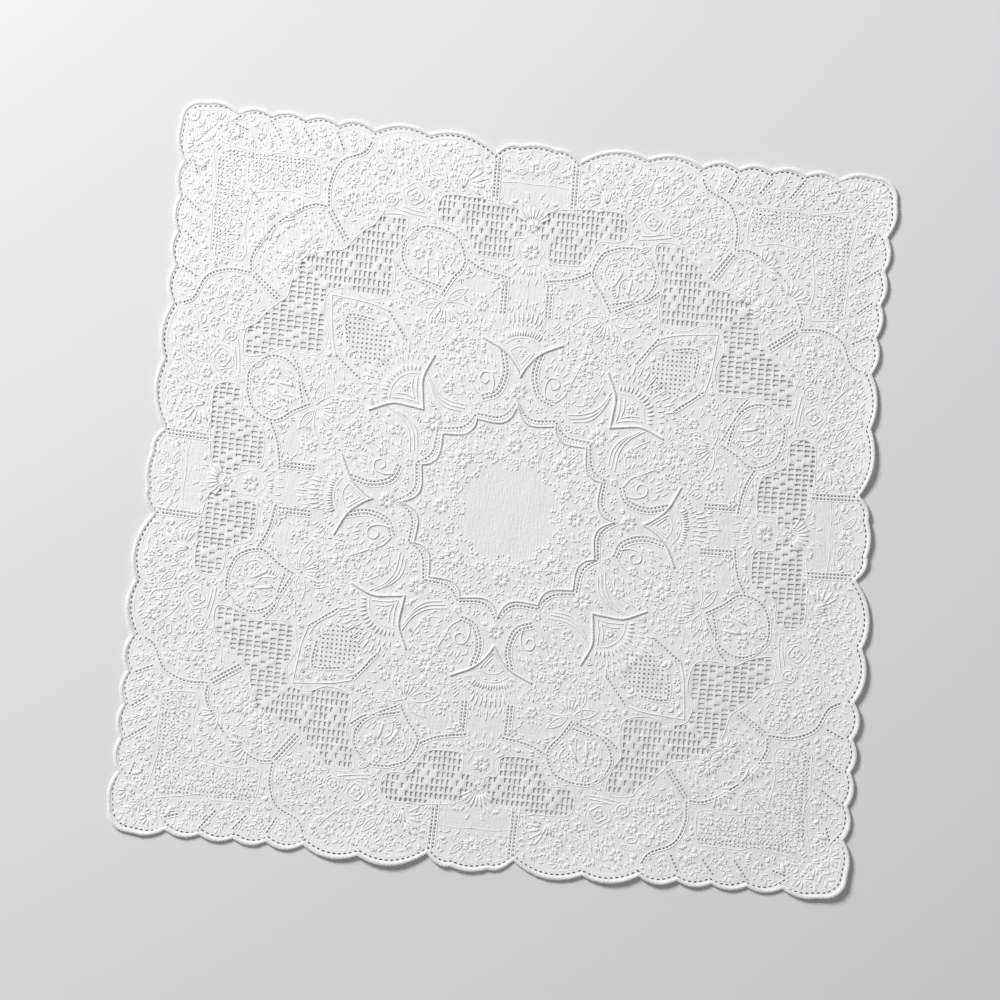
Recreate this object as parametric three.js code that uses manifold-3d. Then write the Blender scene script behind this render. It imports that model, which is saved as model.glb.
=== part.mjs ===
import * as THREE from 'three';
import { mergeVertices } from 'three/addons/utils/BufferGeometryUtils.js';
import Module from 'manifold-3d';

// An embroidered handkerchief lying flat: one square of fine white cloth with a scalloped,
// buttonholed edge, raised lines of corded embroidery and sunk panels of drawn threads.
// Millimetres, +Z up. The table is z = 0 and the far side of the cloth is towards +Y.

// Sizes of the square as it was worked
const HALF = 200;
const CLOTH_THICKNESS = 1.0;
const EDGE_WIDTH = 3.0;
const EDGE_RISE = 0.45;
const PANEL_DEPTH = 0.45;
const CORD_FOOT = 0.35;
const FLOWER_RISE = 0.7;

// The same square as it lies: where its corners have been pulled to, how far its middle has
// crept, and how far the middles of two sides have slid along themselves
const FAR_LEFT = new THREE.Vector2(-199.5, 202.3);
const FAR_RIGHT = new THREE.Vector2(196.5, 196);
const NEAR_RIGHT = new THREE.Vector2(204, -198.5);
const NEAR_LEFT = new THREE.Vector2(-201, -199);
const MIDDLE_CREEP = new THREE.Vector2(1.5, -5.3);
const LEFT_SLIDE = -2.5;
const NEAR_SLIDE = -3.2;

// How each side's border has drawn in: the most, where along the side (-1 to 1), and how widely
const FAR_DRAW = { most: 4.2, at: 0, spread: 0.55 };
const RIGHT_DRAW = { most: 5.0, at: 0.38, spread: 0.42 };
const NEAR_DRAW = { most: -2.4, at: -0.08, spread: 0.4 };
const LEFT_DRAW = { most: 4.8, at: 0.35, spread: 0.6 };
const BORDER_SHARPNESS = 6;

// Spots where the cloth stands up off the table: centre, how high and how wide
const LIFTS = [
  { x: 206, y: 30, height: 2.0, reach: 64 },
  { x: 204, y: -95, height: 1.5, reach: 52 },
  { x: 207, y: -204, height: 2.8, reach: 60 },
  { x: 95, y: -207, height: 1.8, reach: 54 },
  { x: -40, y: -206, height: 2.1, reach: 60 },
  { x: -207, y: -60, height: 1.3, reach: 54 },
  { x: -205, y: 85, height: 1.6, reach: 58 },
  { x: -20, y: 206, height: 1.4, reach: 54 },
  { x: 120, y: 206, height: 1.7, reach: 58 },
];

// Scallops along half a side, from its middle to a corner: where each ends along the side, how
// far that end stands from the cloth's middle, and how far the scallop swells between its ends
const SCALLOPS = [
  { end: 10, out: 200.8, swell: 1.9, steps: 4 },
  { end: 23.5, out: 194.8, swell: 2.6, steps: 2 },
  { end: 61.5, out: 200.4, swell: 6.0, steps: 6 },
  { end: 92, out: 198.2, swell: 4.4, steps: 5 },
  { end: 112.5, out: 198.8, swell: 3.6, steps: 4 },
  { end: 131, out: 199, swell: 2.9, steps: 3 },
  { end: 150, out: 198.8, swell: 2.8, steps: 3 },
  { end: 169, out: 198, swell: 2.9, steps: 3 },
  { end: 188, out: 201.4, swell: 2.4, steps: 3 },
];
const INNER_STEP_SHARE = 0.5;
const CORNER_RADIUS = 11;
const CORNER_STEPS = 3;

// Raised cord lines in one eighth of the pattern, between the middle of the far side and its
// right corner: width, rise, straight steps and the points that each smooth line passes through
const CORDS = [
  { of: 'ring arc by the axis', width: 2.6, rise: 0.9, steps: 4,
    through: [[0, 58.5], [3.5, 51.5], [9.5, 48.5], [21.5, 49.5]] },
  { of: 'ring arc by the diagonal', width: 2.6, rise: 0.9, steps: 4,
    through: [[21.5, 49.5], [23, 44.5], [28, 40.5], [39.5, 39.5]] },
  { of: 'fan arm on the axis', width: 2.4, rise: 0.85, steps: 3,
    through: [[0, 73], [3, 80], [10, 87.5], [22, 93]] },
  { of: 'fan arm on the diagonal', width: 2.4, rise: 0.85, steps: 3,
    through: [[51, 51], [52.5, 59], [53, 69], [48, 80]] },
  { of: 'scroll by the axis', width: 1.8, rise: 0.5, steps: 3,
    through: [[11, 88], [8.5, 76], [12, 65], [22, 60]] },
  { of: 'scroll by the diagonal', width: 1.8, rise: 0.5, steps: 2,
    through: [[50, 70], [46, 63], [39, 57.5], [30, 55]] },
  { of: 'bud over the scrolls', width: 1.8, rise: 0.6, steps: 2,
    through: [[32, 118], [40, 115], [47, 109], [59, 107]] },
  { of: 'medallion by the axis', width: 1.8, rise: 0.5, steps: 3,
    through: [[47, 113], [42, 122], [35.5, 132], [41, 145], [50, 149]] },
  { of: 'medallion by the diagonal', width: 1.7, rise: 0.55, steps: 4,
    through: [[50, 149], [60, 148], [70, 137], [66, 123], [47, 113]] },
  { of: 'ladder on the axis', width: 3.0, rise: 0.35, steps: 1,
    through: [[13, 126], [13, 108]] },
  { of: 'ladder at the side', width: 2.4, rise: 0.4, steps: 1,
    through: [[22, 166], [22, 192]] },
  { of: 'shoulder', width: 2.2, rise: 0.45, steps: 3,
    through: [[92, 192], [96, 184], [108, 178], [113.5, 167], [113, 152]] },
  { of: 'bar to the panel', width: 3.4, rise: 0.4, steps: 1,
    through: [[113.4, 153.6], [100.5, 135]] },
  { of: 'corner medallion', width: 1.8, rise: 0.5, steps: 2,
    through: [[112, 152.7], [121, 153], [130, 149.5], [141, 141]] },
  { of: 'slanted ladder', width: 1.8, rise: 0.35, steps: 1,
    through: [[149.5, 196], [141, 184]] },
  { of: 'band, outer line', width: 1.6, rise: 0.4, steps: 1,
    through: [[118, 178], [178, 178]] },
  { of: 'band, inner line', width: 1.6, rise: 0.45, steps: 1,
    through: [[119, 159], [157, 157]] },
];

// Panels of drawn threads in the same eighth, sunk below the cloth. The second one crosses the
// diagonal, so it is given as the half that its mirror image completes.
const SIDE_PANEL = [
  [3, 158], [10, 162], [30, 163], [47, 163], [54, 158], [56, 153], [50, 151], [42, 149],
  [36, 143], [31, 137], [22, 134], [12, 137], [9, 143], [9, 150],
];
const DIAGONAL_PANEL_HALF = [
  [108, 108], [98, 108], [88, 105.5], [73, 112], [74, 130], [69.5, 140], [68, 150],
  [84, 150], [91, 143], [100, 135], [109, 126], [125, 125],
];

// Raised flowers in the same eighth: centre, radius and petals. One that lies on the axis or
// on the diagonal is its own mirror image.
const FLOWERS = [
  { x: 0, y: 66, radius: 5, petals: 6 },
  { x: 45.5, y: 45.5, radius: 5.5, petals: 5 },
  { x: 27, y: 27, radius: 6, petals: 5 },
  { x: 0, y: 37, radius: 5, petals: 5 },
  { x: 64, y: 163, radius: 6.5, petals: 4 },
  { x: 0, y: 142, radius: 5.5, petals: 5 },
  { x: 131, y: 122, radius: 6, petals: 5 },
];
const PETAL_NOTCH = 0.5;

// How far a side has drawn in at a place along it, for a point that far out from the middle
function drawnIn(side, along, out) {
  const away = (along - side.at) / side.spread;
  return side.most * Math.exp(-away * away) * Math.max(0, out) ** BORDER_SHARPNESS;
}

// Where a point of the worked square lies on the table, before the cloth is centred
function lie(x, y) {
  const u = x / HALF;
  const v = y / HALF;
  const near = NEAR_LEFT.clone().lerp(NEAR_RIGHT, (1 + u) / 2);
  const far = FAR_LEFT.clone().lerp(FAR_RIGHT, (1 + u) / 2);
  const place = near.lerp(far, (1 + v) / 2);
  const acrossMiddle = Math.max(0, 1 - u * u);
  const alongMiddle = Math.max(0, 1 - v * v);
  place.addScaledVector(MIDDLE_CREEP, acrossMiddle * alongMiddle);
  place.y += LEFT_SLIDE * alongMiddle * ((1 - u) / 2) ** 2;
  place.x += NEAR_SLIDE * acrossMiddle * ((1 - v) / 2) ** 2;
  place.x += drawnIn(LEFT_DRAW, v, -u) - drawnIn(RIGHT_DRAW, v, u);
  place.y += drawnIn(NEAR_DRAW, u, -v) - drawnIn(FAR_DRAW, u, v);
  return place;
}

// Height of the cloth's underside above the table, at a point of the worked square
function lift(x, y) {
  let height = 0;
  for (const spot of LIFTS) {
    const away = Math.hypot(x - spot.x, y - spot.y) / spot.reach;
    if (away < 1) {
      height = Math.max(height, spot.height * (1 - away * away) ** 2);
    }
  }
  return height;
}

// The outline of the worked square moved in by a distance, as one closed run of points. Each
// scallop takes a share of its steps.
function outlineMovedIn(distance, share) {
  const eighth = [];
  let start = -SCALLOPS[0].end;
  let out = SCALLOPS[0].out;
  for (const scallop of SCALLOPS) {
    const steps = Math.max(2, Math.round(scallop.steps * share));
    for (let step = 0; step < steps; step++) {
      const along = step / steps;
      const x = start + (scallop.end - start) * along;
      const y = out + (scallop.out - out) * along + scallop.swell * 4 * along * (1 - along);
      if (x > 0) {
        eighth.push([x, y]);
      }
    }
    start = scallop.end;
    out = scallop.out;
  }
  const corner = out - CORNER_RADIUS;
  for (let step = 0; step <= CORNER_STEPS; step++) {
    const turn = (Math.PI / 4) * (1 + (CORNER_STEPS - step) / CORNER_STEPS);
    eighth.push([corner + CORNER_RADIUS * Math.cos(turn), corner + CORNER_RADIUS * Math.sin(turn)]);
  }
  const top = SCALLOPS[0].out + SCALLOPS[0].swell;
  const mirrored = eighth.slice(0, -1).reverse().map(([x, y]) => [y, x]);
  const quarter = [[0, top], ...eighth, ...mirrored];
  const shrink = (HALF - distance) / HALF;
  const points = [];
  for (let turn = 0; turn < 4; turn++) {
    for (const [x, y] of quarter) {
      const turned = new THREE.Vector2(x, y).rotateAround(new THREE.Vector2(), -turn * Math.PI / 2);
      points.push(turned.multiplyScalar(shrink));
    }
  }
  return points;
}

// The eight places of one run of points in the pattern: four turns, each as it is and mirrored
function eightTimes(points) {
  const copies = [];
  for (let turn = 0; turn < 4; turn++) {
    for (const side of [1, -1]) {
      copies.push(points.map(([x, y]) => (
        new THREE.Vector2(side * x, y).rotateAround(new THREE.Vector2(), -turn * Math.PI / 2)
      )));
    }
  }
  return copies;
}

const wasm = await Module();
wasm.setup();

// A closed geometry as a solid that can be cut and joined
function toSolid(geometry) {
  geometry.deleteAttribute('normal');
  geometry.deleteAttribute('uv');
  const merged = mergeVertices(geometry, 1e-4);
  return new wasm.Manifold(new wasm.Mesh({
    numProp: 3,
    vertProperties: new Float32Array(merged.attributes.position.array),
    triVerts: new Uint32Array(merged.index.array),
  }));
}

function toGeometry(solid) {
  const mesh = solid.getMesh();
  const geometry = new THREE.BufferGeometry();
  geometry.setAttribute('position', new THREE.BufferAttribute(new Float32Array(mesh.vertProperties), 3));
  geometry.setIndex(new THREE.BufferAttribute(new Uint32Array(mesh.triVerts), 1));
  return geometry;
}

// A grid of columns by rows of points closed into a body: each row is a ring round the body,
// and the first and last rows are capped
function closedGrid(rows) {
  const sides = rows[0].length;
  const positions = rows.flat().flatMap((point) => point.toArray());
  const index = [];
  for (let row = 0; row + 1 < rows.length; row++) {
    for (let side = 0; side < sides; side++) {
      const here = row * sides + side;
      const next = row * sides + (side + 1) % sides;
      index.push(here, next, next + sides, here, next + sides, here + sides);
    }
  }
  const last = (rows.length - 1) * sides;
  for (let side = 1; side + 1 < sides; side++) {
    index.push(0, side + 1, side, last, last + side, last + side + 1);
  }
  const geometry = new THREE.BufferGeometry();
  geometry.setAttribute('position', new THREE.Float32BufferAttribute(positions, 3));
  geometry.setIndex(index);
  return geometry;
}

// A wavy slab over the whole square, between two heights above the cloth's underside
const SLAB_CELLS = 15;
const SLAB_MARGIN = 8;
function wavySlab(from, to) {
  const reach = HALF + SLAB_MARGIN;
  const geometry = new THREE.BoxGeometry(2 * reach, 2 * reach, 1, SLAB_CELLS, SLAB_CELLS, 1);
  const position = geometry.attributes.position;
  for (let i = 0; i < position.count; i++) {
    const x = position.getX(i);
    const y = position.getY(i);
    const place = lie(x, y);
    const height = position.getZ(i) > 0 ? to : from;
    position.setXYZ(i, place.x, place.y, height + lift(x, y));
  }
  return toSolid(geometry);
}

// A tall block with the outline of the given points of the worked square
const BLOCK_FOOT = -5;
const BLOCK_HEIGHT = 20;
function tallBlock(points) {
  const shape = new THREE.Shape(points.map((point) => lie(point.x, point.y)));
  const geometry = new THREE.ExtrudeGeometry(shape, { depth: BLOCK_HEIGHT, bevelEnabled: false });
  geometry.translate(0, 0, BLOCK_FOOT);
  return toSolid(geometry);
}

// A raised cord on the cloth along a smooth line, with a broad foot and a ridge along its middle
function cordAlong(points, cord) {
  const line = new THREE.SplineCurve(points);
  const rows = [];
  for (let step = 0; step <= cord.steps; step++) {
    const point = line.getPointAt(step / cord.steps);
    const across = line.getTangentAt(step / cord.steps).rotateAround(new THREE.Vector2(), Math.PI / 2);
    const row = [];
    for (const side of [0.5, 0, -0.5]) {
      const spot = point.clone().addScaledVector(across, side * cord.width);
      const surface = CLOTH_THICKNESS + lift(spot.x, spot.y);
      const place = lie(spot.x, spot.y);
      row.push(new THREE.Vector3(place.x, place.y, surface + (side === 0 ? cord.rise : -CORD_FOOT)));
    }
    rows.push(row);
  }
  return toSolid(closedGrid(rows));
}

// A raised flower: a low star of petals that rise to a point in the middle
function flowerAt(centre, flower) {
  const geometry = new THREE.ConeGeometry(1, FLOWER_RISE + CORD_FOOT, flower.petals * 2);
  geometry.rotateX(Math.PI / 2);
  const position = geometry.attributes.position;
  const surface = CLOTH_THICKNESS + lift(centre.x, centre.y);
  for (let i = 0; i < position.count; i++) {
    const spot = new THREE.Vector2(position.getX(i), position.getY(i));
    const petal = Math.cos(flower.petals * spot.angle()) > 0;
    spot.multiplyScalar(flower.radius * (petal ? 1 : PETAL_NOTCH)).add(centre);
    const place = lie(spot.x, spot.y);
    const height = position.getZ(i) > 0 ? FLOWER_RISE : -CORD_FOOT;
    position.setXYZ(i, place.x, place.y, surface + height);
  }
  return toSolid(geometry);
}

// The cloth: one sheet with its edge, its cords and its sunk panels, all in one piece
function makeCloth() {
  const outline = tallBlock(outlineMovedIn(0, 1));
  const inside = tallBlock(outlineMovedIn(EDGE_WIDTH, INNER_STEP_SHARE));
  let cloth = wavySlab(0, CLOTH_THICKNESS).intersect(outline);
  const edge = wavySlab(0, CLOTH_THICKNESS + EDGE_RISE).intersect(outline.subtract(inside));
  cloth = cloth.add(edge);

  const panels = eightTimes(SIDE_PANEL);
  const half = DIAGONAL_PANEL_HALF;
  const diagonalPanel = [...half, ...half.slice(1, -1).reverse().map(([x, y]) => [y, x])];
  const turnedPanels = eightTimes(diagonalPanel).filter((copy, index) => index % 2 === 0);
  const overPanels = wavySlab(CLOTH_THICKNESS - PANEL_DEPTH, BLOCK_HEIGHT);
  for (const panel of [...panels, ...turnedPanels]) {
    cloth = cloth.subtract(tallBlock(panel).intersect(overPanels));
  }

  for (const cord of CORDS) {
    for (const points of eightTimes(cord.through)) {
      cloth = cloth.add(cordAlong(points, cord));
    }
  }
  for (const flower of FLOWERS) {
    const alone = flower.x === 0 || flower.x === flower.y;
    const copies = eightTimes([[flower.x, flower.y]]);
    for (const [centre] of copies.filter((copy, index) => !alone || index % 2 === 0)) {
      cloth = cloth.add(flowerAt(centre, flower));
    }
  }
  return toGeometry(cloth);
}

const geometry = makeCloth();
geometry.computeBoundingBox();
const box = geometry.boundingBox;
geometry.translate(-(box.min.x + box.max.x) / 2, -(box.min.y + box.max.y) / 2, -box.min.z);

const whiteLinen = new THREE.MeshStandardMaterial({ color: 0xe9e9ea, roughness: 0.85, metalness: 0 });
const cloth = new THREE.Mesh(geometry, whiteLinen);
cloth.name = 'cloth';

const group = new THREE.Group();
group.add(cloth);

export default group;
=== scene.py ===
import math

import bpy
import numpy as np
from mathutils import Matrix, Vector, geometry
from mathutils.kdtree import KDTree


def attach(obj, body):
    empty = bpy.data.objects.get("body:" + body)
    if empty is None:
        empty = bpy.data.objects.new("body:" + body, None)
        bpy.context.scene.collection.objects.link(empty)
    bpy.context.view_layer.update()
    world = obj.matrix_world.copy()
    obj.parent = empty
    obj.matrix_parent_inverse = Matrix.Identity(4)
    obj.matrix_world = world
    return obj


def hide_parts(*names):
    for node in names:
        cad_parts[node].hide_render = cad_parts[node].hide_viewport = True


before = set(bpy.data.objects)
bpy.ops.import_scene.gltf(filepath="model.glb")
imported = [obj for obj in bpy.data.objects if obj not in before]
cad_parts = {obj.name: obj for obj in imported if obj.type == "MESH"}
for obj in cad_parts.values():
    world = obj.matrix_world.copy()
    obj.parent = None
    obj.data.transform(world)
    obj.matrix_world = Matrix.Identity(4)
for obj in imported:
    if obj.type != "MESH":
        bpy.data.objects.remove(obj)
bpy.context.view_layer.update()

# The worked square and how it lies
# The pattern is drawn in millimetres on the square as it was worked, x to the right and y to the
# far side. The cloth has been pulled out of square by washing and handling, and it lies in low
# waves, so these functions say where each point of the square lies and how high.
HALF = 200.0
FAR_LEFT = np.array([-199.5, 202.3])
FAR_RIGHT = np.array([196.5, 196.0])
NEAR_RIGHT = np.array([204.0, -198.5])
NEAR_LEFT = np.array([-201.0, -199.0])
MIDDLE_CREEP = np.array([1.5, -5.3])
LEFT_SLIDE = -2.5
NEAR_SLIDE = -3.2
# How each side's border has drawn in: the most, where along the side, and how widely
FAR_DRAW = (4.2, 0.0, 0.55)
RIGHT_DRAW = (5.0, 0.38, 0.42)
NEAR_DRAW = (-2.4, -0.08, 0.4)
LEFT_DRAW = (4.8, 0.35, 0.6)
BORDER_SHARPNESS = 6
# Spots where the cloth stands up off the table: x, y, height and reach
LIFTS = [
    (206, 30, 1.0, 60), (204, -95, 0.6, 52), (207, -204, 1.3, 50), (95, -207, 0.9, 50),
    (-40, -206, 1.1, 56), (-207, -60, 0.7, 54), (-205, 85, 0.8, 58), (-20, 206, 0.7, 50),
    (120, 206, 0.8, 50),
]
# How far it stands off the table everywhere else
CLEARANCE = 0.05
# The low waves and puckers: the height of each and its size across
PUCKERS = ((0.14, 17.0), (0.16, 7.0))
# The needlework has drawn the cloth up in fine crumples, each so high and so far across. They die
# away in the plain middle and towards the rim, down to the least share that is left in each
CRUMPLE = (0.28, 3.0)
CRUMPLE_SEED = 5
PLAIN_REACH = 24.0
PLAIN_SHARPNESS = 3
FLAT_RIM = (190.0, 199.0)
LEAST_CRUMPLE = (0.1, 0.15)
# How much further than the square the uneven values reach
UNEVEN_MARGIN = 1.1
# The right and near rims stand off the table: how high, from where and over what length
RIGHT_LIFT = 1.5
NEAR_LIFT = 1.0
LIFT_FROM = 184.0
LIFT_REACH = 18.0


def drawn_in(side, along, out):
    most, at, spread = side
    return most * np.exp(-(((along - at) / spread) ** 2)) * np.maximum(0, out) ** BORDER_SHARPNESS


def lie(points):
    """Where points of the worked square lie, in millimetres."""
    u, v = points[:, :1] / HALF, points[:, 1:2] / HALF
    near = NEAR_LEFT + (NEAR_RIGHT - NEAR_LEFT) * (1 + u) / 2
    far = FAR_LEFT + (FAR_RIGHT - FAR_LEFT) * (1 + u) / 2
    place = near + (far - near) * (1 + v) / 2
    across = np.maximum(0, 1 - u * u)
    along = np.maximum(0, 1 - v * v)
    place = place + MIDDLE_CREEP * across * along
    place[:, 1:2] += LEFT_SLIDE * along * ((1 - u) / 2) ** 2
    place[:, :1] += NEAR_SLIDE * across * ((1 - v) / 2) ** 2
    place[:, :1] += drawn_in(LEFT_DRAW, v, -u) - drawn_in(RIGHT_DRAW, v, u)
    place[:, 1:2] += drawn_in(NEAR_DRAW, u, -v) - drawn_in(FAR_DRAW, u, v)
    return place


def uneven(points, size, seed):
    """Soft uneven values from 0 to 1 over the square, with bumps about that size across."""
    count = int(2 * HALF * UNEVEN_MARGIN / size) + 4
    values = np.random.default_rng(seed).random((count, count))
    place = points / size + count / 2
    cell = np.clip(np.floor(place).astype(int), 0, count - 2)
    part = np.clip(place - cell, 0, 1)
    part = part * part * (3 - 2 * part)
    x, y = cell[:, 0], cell[:, 1]
    low = values[x, y] + (values[x + 1, y] - values[x, y]) * part[:, 0]
    high = values[x, y + 1] + (values[x + 1, y + 1] - values[x, y + 1]) * part[:, 0]
    return low + (high - low) * part[:, 1]


def underside(points):
    """Height of the cloth's underside above the table, in millimetres."""
    height = np.full(len(points), CLEARANCE)
    for x, y, most, reach in LIFTS:
        away = np.hypot(points[:, 0] - x, points[:, 1] - y) / reach
        height = np.maximum(height, CLEARANCE + most * np.maximum(0, 1 - away * away) ** 2)
    for out, most in ((points[:, 0], RIGHT_LIFT), (-points[:, 1], NEAR_LIFT)):
        height = height + most * np.clip((out - LIFT_FROM) / LIFT_REACH, 0, 1) ** 2
    for seed, (most, size) in enumerate(PUCKERS):
        height = height + most * uneven(points, size, seed)
    out = np.abs(points).max(axis=1)
    from_plain = (np.hypot(points[:, 0], points[:, 1]) - PLAIN_REACH) / PLAIN_REACH
    inner = np.clip(from_plain * PLAIN_SHARPNESS, LEAST_CRUMPLE[0], 1)
    flat = np.clip((FLAT_RIM[1] - out) / (FLAT_RIM[1] - FLAT_RIM[0]), LEAST_CRUMPLE[1], 1)
    height = height + CRUMPLE[0] * inner * flat * uneven(points, CRUMPLE[1], CRUMPLE_SEED)
    return height


# The cloth
# One square of fine plain-woven white cotton. Its outline is cut in scallops after the edge is
# worked. Openings are left where the threads are drawn, and a needle has pulled rows of small
# holes along the edge and along every ladder line.
CLOTH_THICKNESS = 0.3
# Nothing reaches below this height over the table, and edges sharper than this angle stay crisp
LEAST_HEIGHT = 0.02
CUT_RIM = math.radians(60)
EDGE_TUCK = 0.6
# Scallops along half a side, from its middle to a corner: where each ends along the side, how
# far that end stands from the middle of the cloth, and how far the scallop swells
SCALLOPS = [
    (10, 200.8, 1.9), (23.5, 194.8, 2.6), (61.5, 200.4, 6.0), (92, 198.2, 4.4),
    (112.5, 198.8, 3.6), (131, 199.0, 2.9), (150, 198.8, 2.8), (169, 198.0, 2.9),
    (188, 201.4, 2.4),
]
CORNER_RADIUS = 11.0
CORNER_STEPS = 7


def turned(points, turns):
    """Points of the pattern turned clockwise by that many quarter turns."""
    x, y = points[:, 0], points[:, 1]
    return np.column_stack([(x, y), (y, -x), (-x, -y), (-y, x)][turns % 4])


def eight_times(points):
    """The eight places of one run of points in the pattern: four turns, each also mirrored."""
    points = np.array(points, float)
    both = (points, points * (-1, 1))
    return [turned(copy, turns) for turns in range(4) for copy in both]


def four_times(points):
    """The four places of a run of points that is its own mirror image."""
    return [turned(np.array(points, float), turns) for turns in range(4)]


def outline(moved_in, step=1.5):
    """The scalloped outline, moved in by a distance, as one closed run of points."""
    eighth = []
    start, out = -SCALLOPS[0][0], SCALLOPS[0][1]
    for end, end_out, swell in SCALLOPS:
        steps = max(4, round((end - start) / step))
        t = np.arange(steps) / steps
        x = start + (end - start) * t
        y = out + (end_out - out) * t + swell * 4 * t * (1 - t)
        eighth.append(np.column_stack([x, y])[x > 0])
        start, out = end, end_out
    corner = out - CORNER_RADIUS
    turn = np.linspace(math.pi / 2, math.pi / 4, CORNER_STEPS)
    round_part = corner + CORNER_RADIUS * np.column_stack([np.cos(turn), np.sin(turn)])
    eighth = np.vstack([*eighth, round_part])
    top = [[0, SCALLOPS[0][1] + SCALLOPS[0][2]]]
    quarter = np.vstack([top, eighth, eighth[-2::-1, ::-1]])
    return np.vstack(four_times(quarter)) * (HALF - moved_in) / HALF


def smooth(points, step=1.0, closed=False):
    """A smooth line through the points, with points about a step apart."""
    points = np.array(points, float)
    if closed:
        points = np.vstack([points[-1], points, points[0], points[1]])
    else:
        points = np.vstack([2 * points[0] - points[1], points, 2 * points[-1] - points[-2]])
    line = []
    for a, b, c, d in zip(points, points[1:], points[2:], points[3:]):
        steps = max(1, round(np.hypot(*(c - b)) / step))
        t = (np.arange(steps) / steps)[:, None]
        bend = (2 * a - 5 * b + 4 * c - d) * t * t + (3 * b - a - 3 * c + d) * t ** 3
        line.append(b + 0.5 * ((c - a) * t + bend))
    if not closed:
        line.append(points[-2:-1])
    return np.vstack(line)


def spaced(line, spacing, closed=False):
    """Places evenly spaced along a line, and the line's direction at each."""
    if closed:
        line = np.vstack([line, line[:1]])
    lengths = np.hypot(*np.diff(line, axis=0).T)
    along = np.concatenate([[0], np.cumsum(lengths)])
    count = max(1, round(along[-1] / spacing))
    at = (np.arange(count) + 0.5) * along[-1] / count
    place = np.column_stack([np.interp(at, along, line[:, k]) for k in (0, 1)])
    part = np.clip(np.searchsorted(along, at) - 1, 0, len(lengths) - 1)
    return place, np.diff(line, axis=0)[part] / lengths[part, None]


def beside(line, distance):
    """A line that runs beside another, to its left by a distance."""
    way = np.gradient(line, axis=0)
    way = way / np.maximum(np.hypot(way[:, 0], way[:, 1]), 1e-9)[:, None]
    return line + distance * np.column_stack([-way[:, 1], way[:, 0]])


# Ladder lines in one eighth of the pattern: raised threads with rows of needle holes between
# them. A narrow one has one row of holes, and a wide one has two rows and a thread between.
NARROW = ((-0.9, 0.9), (0,))
WIDE = ((-2.0, 0, 2.0), (-1.0, 1.0))
LADDER_SPACING = 2.1
LADDERS = [
    (NARROW, [(0, 61.6), (4.3, 54.4), (10.3, 51.2), (21.8, 52)]),
    (NARROW, [(22, 52), (24.8, 47.2), (29.8, 43.5), (41.5, 42)]),
    (WIDE, [(10.5, 88), (8, 76), (11.5, 65), (20, 61)]),
    (NARROW, [(47, 113), (42, 122), (35.5, 132), (40, 144), (50, 148.7)]),
    (NARROW, [(50, 148.7), (61, 148), (70, 137), (66, 124), (47, 113)]),
    (NARROW, [(47, 117.5), (57, 120), (66, 121.5), (73, 127)]),
    (NARROW, [(9.5, 126.3), (20, 128), (27, 130), (34.5, 134)]),
    (WIDE, [(12.5, 107), (12.5, 125)]),
    (WIDE, [(21.8, 165), (21.8, 194)]),
    (NARROW, [(92, 191), (96, 184.5), (108, 178), (113.2, 166), (113, 153)]),
    (WIDE, [(112.3, 151.5), (101.3, 136)]),
    (NARROW, [(114, 153), (121, 153.3), (130, 149), (140, 141.4)]),
    (NARROW, [(149.5, 195.5), (141, 184)]),
    (NARROW, [(131, 194), (124, 185)]),
    (NARROW, [(112, 194), (107, 184)]),
    (NARROW, [(62, 85), (68, 93), (75, 102)]),
    (NARROW, [(82, 96), (92, 97.5), (97, 97)]),
    (NARROW, [(164, 197), (169, 193), (171.3, 191.5)]),
    (NARROW, [(171.3, 191.5), (161.5, 188.3)]),
]
RIM_HOLE_LINE = 3.15
RIM_HOLE_SPACING = 3.0
RIM_HOLE = (1.0, 0.48)
LADDER_HOLE = (0.72, 0.45)
HOLE_SIDES = 6
# Small holes in the filled band of each corner: two rows along its outer side, and the rest
# scattered
BAND_HOLE_ROWS = (176.3, 174.1)
BAND_HOLE_PITCH = 2.15
BAND_HOLE_COUNT = 60
BAND_HOLE = (0.46, 0.42)
BAND_HOLE_SWAY = 0.3
# How far before the diagonal a row starts and ends, and the box that the rest are scattered in
BAND_ROW_ENDS = (53, 3)
BAND_CORNERS = ((120.5, 160.5), (172, 173))
BAND_SEED = 31
# The pulled filling beyond the fan on the diagonal: its pitch, the places that are tried, how far
# out and to each side it reaches, and its holes
PULLED_PITCH = 2.5
PULLED_FROM = (73, 98)
PULLED_REACH = (69, 94.5)
PULLED_HALF_WIDTH = 13
PULLED_HOLE = (0.6, 0.55)
# Small sprigs keep off it from this x on, and up to this sum of x and y
PULLED_GROUND = (68, 186)
# How near to each other holes may stand, and how near to a panel, the edge or a point of the net
HOLES_APART = 1.5
HOLE_TO_EDGE = 1.2
NET_TO_HOLE = 1.15
# Points closer than this count as one
MERGE_WITHIN = 1e-5
RIGHTWARDS = np.array([1.0, 0.0])


def hole_round(place, way, half_along, half_across):
    """A small hole as a closed run of points, longer along the way that it faces."""
    turn = np.arange(HOLE_SIDES) * 2 * math.pi / HOLE_SIDES
    side = np.array([-way[1], way[0]])
    return place + np.outer(np.cos(turn) * half_along, way) + np.outer(np.sin(turn) * half_across, side)


def inside(points, loop):
    """Which of the points lie within a closed run of points."""
    within = np.zeros(len(points), bool)
    x, y = points[:, 0], points[:, 1]
    for (ax, ay), (bx, by) in zip(loop, np.roll(loop, -1, axis=0)):
        if ay != by:
            cut = (ay > y) != (by > y)
            within ^= cut & (x < ax + (y - ay) / (by - ay) * (bx - ax))
    return within


def tree_of(points):
    tree = KDTree(len(points))
    for index, (x, y) in enumerate(points):
        tree.insert((x, y, 0), index)
    tree.balance()
    return tree


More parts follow.
